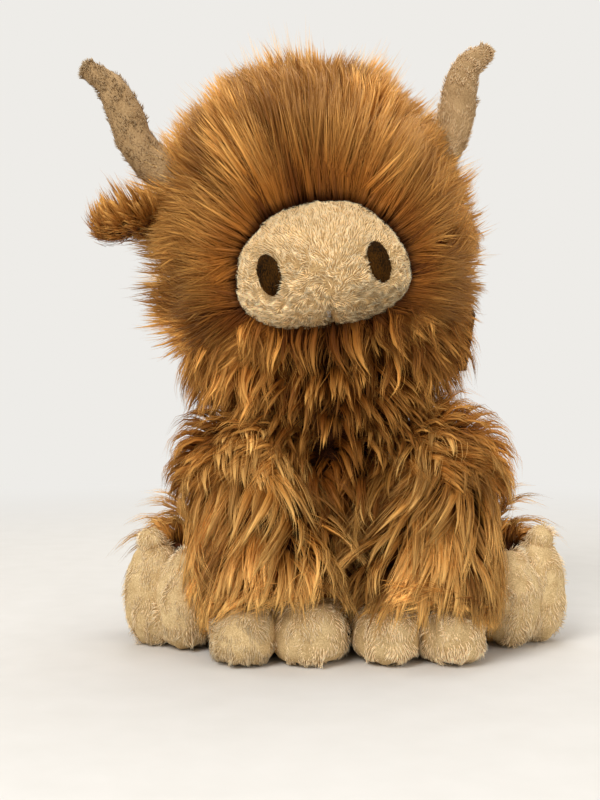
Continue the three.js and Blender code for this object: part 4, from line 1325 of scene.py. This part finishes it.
horns = {
    "left": [(-52, 119), (-88, 149), (-101, 166), (-107, 188), (-113, 203), (-124, 214)],
    "right": [(52, 112), (86, 141), (97, 160), (102, 178), (108, 190), (119, 196)],
    "depth": -4, "radii": [17, 14, 12, 11, 6.5], "rings": 64, "around": 36,
}
# the left horn's tone is darker than the right's: painted shade on the horn that faces away from the light
hornPile = {
    "hairs": 4600, "wide": 0.36, "thick": 0.18, "length": 3.0, "rise": 0.6, "hairTone": 0.045, "seed": 111,
    "tone": {"left": 0.1, "right": 0.74},
}


def hornBumps(points):
    return 0.3 * drift(points, 14, 5)


def addHorn(word):
    points = [(x, horns["depth"], z) for x, z in horns[word]]
    path = throughPoints(points, horns["rings"])
    share = np.linspace(0, 1, horns["rings"])
    radii = throughPoints([(k / 4, r) for k, r in enumerate(horns["radii"])], 80)
    radius = np.interp(share, radii[:, 0], radii[:, 1]) - 0.6
    way = unit(path[-1] - path[-2])
    # the tip is a round cap beyond the path's end
    turn = np.linspace(0, math.pi / 2, 8)[1:-1]
    cap = path[-1] + way * (radius[-1] * 0.7 * np.sin(turn))[:, None]
    path = np.concatenate([path, cap])
    radius = np.concatenate([radius, radius[-1] * np.cos(turn)])
    grid = tubeGrid(path, radius, horns["around"], [0, -1.0, 0])
    grid = grid + unit(grid - path[:, None]) * hornBumps(grid)[..., None]
    mesh = closedSheet(f"horn.{word}", fromHead(grid), fromHead(path[0]), fromHead(path[-1] + way))
    show(mesh, hornGround, "head", [f"horn_{word}_skin"])

    look = hornPile
    rng = np.random.default_rng(look["seed"] + len(word))
    at = rng.uniform(0.15, 1, look["hairs"]) * (len(path) - 1)
    turn = rng.uniform(0, 2 * math.pi, look["hairs"])
    centre, size = rowsAt(path, at), rowsAt(radius[:, None], at)
    along = unit(rowsAt(unit(np.gradient(path, axis=0)), at))
    across = unit(np.cross(along, [0, -1.0, 0]))
    out = np.cos(turn)[:, None] * across + np.sin(turn)[:, None] * np.cross(across, along)
    root = centre + out * size
    root = root + out * hornBumps(root)[:, None]
    flow = unit(along + driftWay(root, 8, 6) * 0.45)
    lower = smooth(0.45, 0.15, at / len(path))
    base = look["tone"][word] + 0.09 * drift(root, 13, 3) + 0.5 * lower
    shortPile(f"horn.{word}.pile", "head", fromHead(root), turnHead(out), turnHead(flow), look, base, rng,
              hornHair)


for legSide in (-1, 1):
    addFrontHoof(legSide)
    addHindHoof(legSide)
addMuzzle()
for legSide in (-1, 1):
    addNostril(legSide, threadMaterial)
addHorn("left")
addHorn("right")
print("plush pieces covered")


# The ears and the tail

ears = {
    "left": {"height": 27, "droop": 3, "turn": 0, "side": -1},
    "right": {"height": 17, "droop": 50, "turn": 30, "side": 1},
    "length": 38, "halfWidth": 15, "halfThickness": 6, "around": 40, "rings": 24,
}
earHair = {
    **commonHair, "locks": 190, "hairs": 9, "spread": 7, "tipSpread": 0.65, "gather": 1.0, "flat": 0.5,
    "stray": 1.4, "wave": 1.4, "waves": 0.6, "wide": 0.24, "thick": 0.16, "shortest": 0.6, "lift": 1,
    "body": 0.4, "length": {-1: 17, 1: 8}, "puff": {-1: 3, 1: 1}, "full": {-1: 1.7, 1: 1.1},
    "lean": {-1: 0.85, 1: -0.3}, "outward": {-1: 0.45, 1: 1}, "end": {-1: 1.05, 1: 0.4}, "lockTone": 0.07,
    "seed": 121,
}


def addEar(word):
    # a thin leaf set into the head's side, drooping about Y and swept back about Z
    ear = ears[word]
    side = ear["side"]
    rise = math.asin(ear["height"] / headForm["up"])
    around = math.radians(ear["turn"]) + (math.pi if side < 0 else 0)
    way = np.array([math.cos(rise) * math.cos(around), math.cos(rise) * math.sin(around), math.sin(rise)])
    root = pillow(headForm, way)
    droop, turn = side * math.radians(ear["droop"]), math.radians(ear["turn"])
    turned = turnedAboutZ(turn) @ np.array([
        [math.cos(droop), 0, math.sin(droop)], [0, 1, 0], [-math.sin(droop), 0, math.cos(droop)],
    ])

    def place(points):
        return fromHead(points @ turned.T + root)

    leaf = {
        "middle": (side * (ears["length"] / 2 - 3), 0, 0), "halfWidth": ears["length"] / 2,
        "halfDepth": ears["halfWidth"] - 3, "up": ears["halfThickness"] - 2, "down": ears["halfThickness"] - 2,
    }
    grid = place(pillow(leaf, ballGrid(ears["around"], ears["rings"])))
    show(closedSheet(f"earLeaf.{word}", grid), furGround, word + "_ear", [f"ear_{word}"])
    look = earHair
    rng = np.random.default_rng(look["seed"] + side)
    ways = unit(spreadWays(look["locks"], rng) * [1, 1, 0.5])  # most of them near the leaf's rim
    start, out = pillow(leaf, ways), pillowOut(leaf, ways)
    zero = place(np.zeros(3))
    above = smooth(-1.0, 0.6, out[:, 2])
    # the locks hug the leaf near its end, so that the tuft narrows to a point there
    end = smooth(0.1, 0.95, ways[:, 0] * side)
    rise = (0.8 + (1.5 + look["puff"][side]) * above) * mix(look["full"][side], 0.35, end)
    rise += scatter(rng, ways, 0.9)
    outward = look["outward"][side] * mix(1, 0.1, smooth(0, 0.9, ways[:, 0] * side))
    lean = xyz(side * mix(1, outward, above), 0.0, look["lean"][side] * mix(0.1, 1, above))
    flow = unit(lean + 0.3 * out * [0.2, 1, 0.2] - (0.5 * end)[:, None] * out * [0, 1, 1])
    flow, out, start = place(flow) - zero, place(out) - zero, place(start)
    shift = look["length"][side] * rng.uniform(0.75, 1.15, len(ways)) * mix(1.25, look["end"][side], end)
    shift = shift * mix(0.45, 1, above)
    # darker underneath: painted shade
    base = 0.38 + 0.1 * drift(start, 15, 3) - 0.1 * (1 - above)
    over, tip = lying(start, out, flow, shift, rise, look["lift"])
    lockHair(f"earHair.{word}", word + "_ear", start, out, over, tip, look, base, rng, furHair)


tail = {
    "root": (0, 71.98, 44), "length": 52, "drop": 26, "bends": [(0, 0), (0.35, 0.25), (0.7, 0.8), (1, 1)],
    "radius": 7, "rings": 24, "around": 24,
}
tailHair = {
    **commonHair, "locks": 190, "hairs": 6, "spread": 4, "tipSpread": 0.35, "flat": 0.5, "wave": 1.6,
    "wide": 0.38, "thick": 0.24, "lift": 1.5, "length": 24, "lockTone": 0.12, "hairTone": 0.1, "seed": 131,
}


def addTail():
    root = np.array(tail["root"])
    points = [root + [0, tail["length"] * a, -tail["drop"] * b] for a, b in tail["bends"]]
    path = throughPoints(points, tail["rings"])
    grid = tubeGrid(path, np.full(tail["rings"], tail["radius"] - 2.0), tail["around"], [1.0, 0, 0])
    show(closedSheet("tailPelt", grid), furGround, "tail_end", ["tail", "tail_tuft"])
    look = tailHair
    rng = np.random.default_rng(look["seed"])
    at = rng.uniform(0, 1, look["locks"]) ** 0.7 * (tail["rings"] - 1)
    turn = rng.uniform(0, 2 * math.pi, look["locks"])[:, None]
    along = unit(rowsAt(unit(np.gradient(path, axis=0)), at))
    out = np.cos(turn) * [1.0, 0, 0] + np.sin(turn) * unit(np.cross(along, [1.0, 0, 0]))
    start = rowsAt(path, at) + out * 4
    flow = unit(along + out * 0.15 + [0, 0, -0.1])
    shift = look["length"] * rng.uniform(0.8, 1.2, look["locks"])
    rise = 4 + rng.normal(size=look["locks"])
    base = 0.4 + 0.12 * drift(start, 20, 3)
    over, tip = lying(start, out, flow, shift, rise, look["lift"])
    lockHair("tailHair", "tail_end", start, out, over, tip, look, base, rng, furHair)


addEar("left")
addEar("right")
addTail()
print("ears and tail covered")


# The inner pieces, the tag and the label

label = {
    "width": 16, "length": 22, "tuck": 3, "height": 30, "turn": 118, "thick": 0.28, "fold": 0.36, "wave": 0.25,
    "across": 9, "along": 30,
}


def addLabel(material):
    # a ribbon folded in two: a path out from the seam, round the fold and back, with a flat outline carried
    # along it, and a small wave in it that grows towards the fold
    look = label
    low = (torsoForm["middle"][2] - look["height"]) / torsoForm["down"]
    rise = -math.asin(low ** (torsoForm["fullDown"] / 2))
    turn = math.radians(look["turn"])
    way = np.array([math.cos(rise) * math.cos(turn), math.cos(rise) * math.sin(turn), math.sin(rise)])
    seat, out = pillow(torsoForm, way), pillowOut(torsoForm, way)
    outward = unit(out * [1, 1, 0])
    aside = np.array([-outward[1], outward[0], 0])
    straight = np.linspace(-look["tuck"], look["length"] - look["fold"], look["along"])
    bow = np.linspace(-math.pi / 2, math.pi / 2, 9)[1:-1]
    u = np.concatenate([straight, straight[-1] + look["fold"] * np.cos(bow), straight[::-1]])
    w = np.concatenate([
        np.full(len(straight), -look["fold"]), look["fold"] * np.sin(bow), np.full(len(straight), look["fold"]),
    ])
    w = w + look["wave"] * np.sin(u * 0.3) * smooth(2, 18, u)
    path = seat + outward * u[:, None] + aside * w[:, None]
    normal = np.cross(unit(np.gradient(path, axis=0)), [0, 0, 1.0])
    level = np.linspace(-0.5, 0.5, look["across"]) * look["width"]
    side = np.concatenate([np.full(look["across"], 0.5), np.full(look["across"], -0.5)]) * look["thick"]
    up = np.concatenate([level, level[::-1]])
    grid = path[:, None] + normal[:, None] * side[:, None] + up[:, None] * np.array([0, 0, 1.0])
    piece = show(closedSheet("foldedLabel", grid[:, ::-1]), material, "torso", ["sewn_label"])


def finishNodes():
    # the inner pieces, the tag and its pin keep the solids' own form
    stuffing = clothMaterial("stuffingFibre")
    kinds = {"pellet_bag": "pelletCloth", "swing_tag": "tagCard", "tag_pin": "tagPlastic"}
    chosen = {name: clothMaterial(kind) for name, kind in kinds.items()}
    for name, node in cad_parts.items():
        if name.endswith("_stuffing") or name in chosen:
            node.data.materials.clear()
            node.data.materials.append(chosen.get(name, stuffing))


finishNodes()
addLabel(clothMaterial("labelRibbon"))
print("inner pieces, tag and label finished")


# Light and floor

lightLook = {
    "key": {"place": (-0.9, -1.3, 1.5), "size": 1.0, "power": 31},
    "fill": {"place": (1.2, -1.2, 0.7), "size": 1.4, "power": 9},
    "top": {"place": (0.1, 0.5, 1.6), "size": 1.2, "power": 16},
    "world": 0.42, "tint": (255, 250, 242), "background": (238, 236, 232),
    "floor": 6.0, "fade": (0.35, 1.1),  # half the floor's side, and how far off it fades, in metres
}


def addLight(name, look):
    data = bpy.data.lights.new(name, "AREA")
    data.size, data.energy = look["size"], look["power"]
    lamp = bpy.data.objects.new(name, data)
    lamp.location = look["place"]
    aim = np.array([0, 0, 0.18]) - np.array(look["place"])
    tip = math.atan2(math.hypot(aim[0], aim[1]), -aim[2])
    lamp.rotation_euler = (tip, 0, math.atan2(aim[1], aim[0]) - math.pi / 2)
    bpy.context.scene.collection.objects.link(lamp)


def addWorld(strength):
    # the light is warmer than the plain background that the camera sees
    world = bpy.data.worlds.new("studio")
    bpy.context.scene.world = world
    world.use_nodes = True
    tree = world.node_tree
    shown = tree.nodes["Background"]
    shown.inputs["Color"].default_value = paint(*lightLook["background"])
    lit = addNode(tree, "Background", {"Color": paint(*lightLook["tint"]), "Strength": strength})
    isCamera = addNode(tree, "LightPath", {}).outputs["Is Camera Ray"]
    mixing = addNode(tree, "MixShader", {0: isCamera, 1: lit.outputs[0], 2: shown.outputs[0]})
    tree.links.new(mixing.outputs[0], tree.nodes["World Output"].inputs["Surface"])


def addFloor():
    # the floor keeps the shadow near the toy and runs into the background's colour further off
    mesh = bpy.data.meshes.new("floor")
    far = lightLook["floor"]
    mesh.from_pydata([(-far, -far, 0), (far, -far, 0), (far, far, 0), (-far, far, 0)], [], [(0, 1, 2, 3)])
    floor = bpy.data.objects.new("floor", mesh)
    bpy.context.scene.collection.objects.link(floor)
    material, tree, shader = newMaterial("paleFloor", 0.8, 0.2)
    colour = mixColour(tree, noiseNode(tree, 40, 2.0), paint(214, 211, 205), paint(222, 219, 214))
    tree.links.new(colour, shader.inputs["Base Color"])
    place = addNode(tree, "TexCoord", {}).outputs["Object"]
    length = addNode(tree, "VectorMath", {0: place}, operation="LENGTH").outputs["Value"]
    isCamera = addNode(tree, "LightPath", {}).outputs["Is Camera Ray"]
    share = mathNode(tree, "MULTIPLY", rangeNode(tree, length, *lightLook["fade"]), isCamera)
    plain = addNode(tree, "Emission", {"Color": paint(*lightLook["background"])})
    mixing = addNode(tree, "MixShader", {0: share, 1: shader.outputs[0], 2: plain.outputs[0]})
    tree.links.new(mixing.outputs[0], tree.nodes["Material Output"].inputs["Surface"])
    mesh.materials.append(material)


for lampName in ("key", "fill", "top"):
    addLight(lampName, lightLook[lampName])
addWorld(lightLook["world"])
addFloor()
bpy.context.scene.view_settings.view_transform = "Standard"
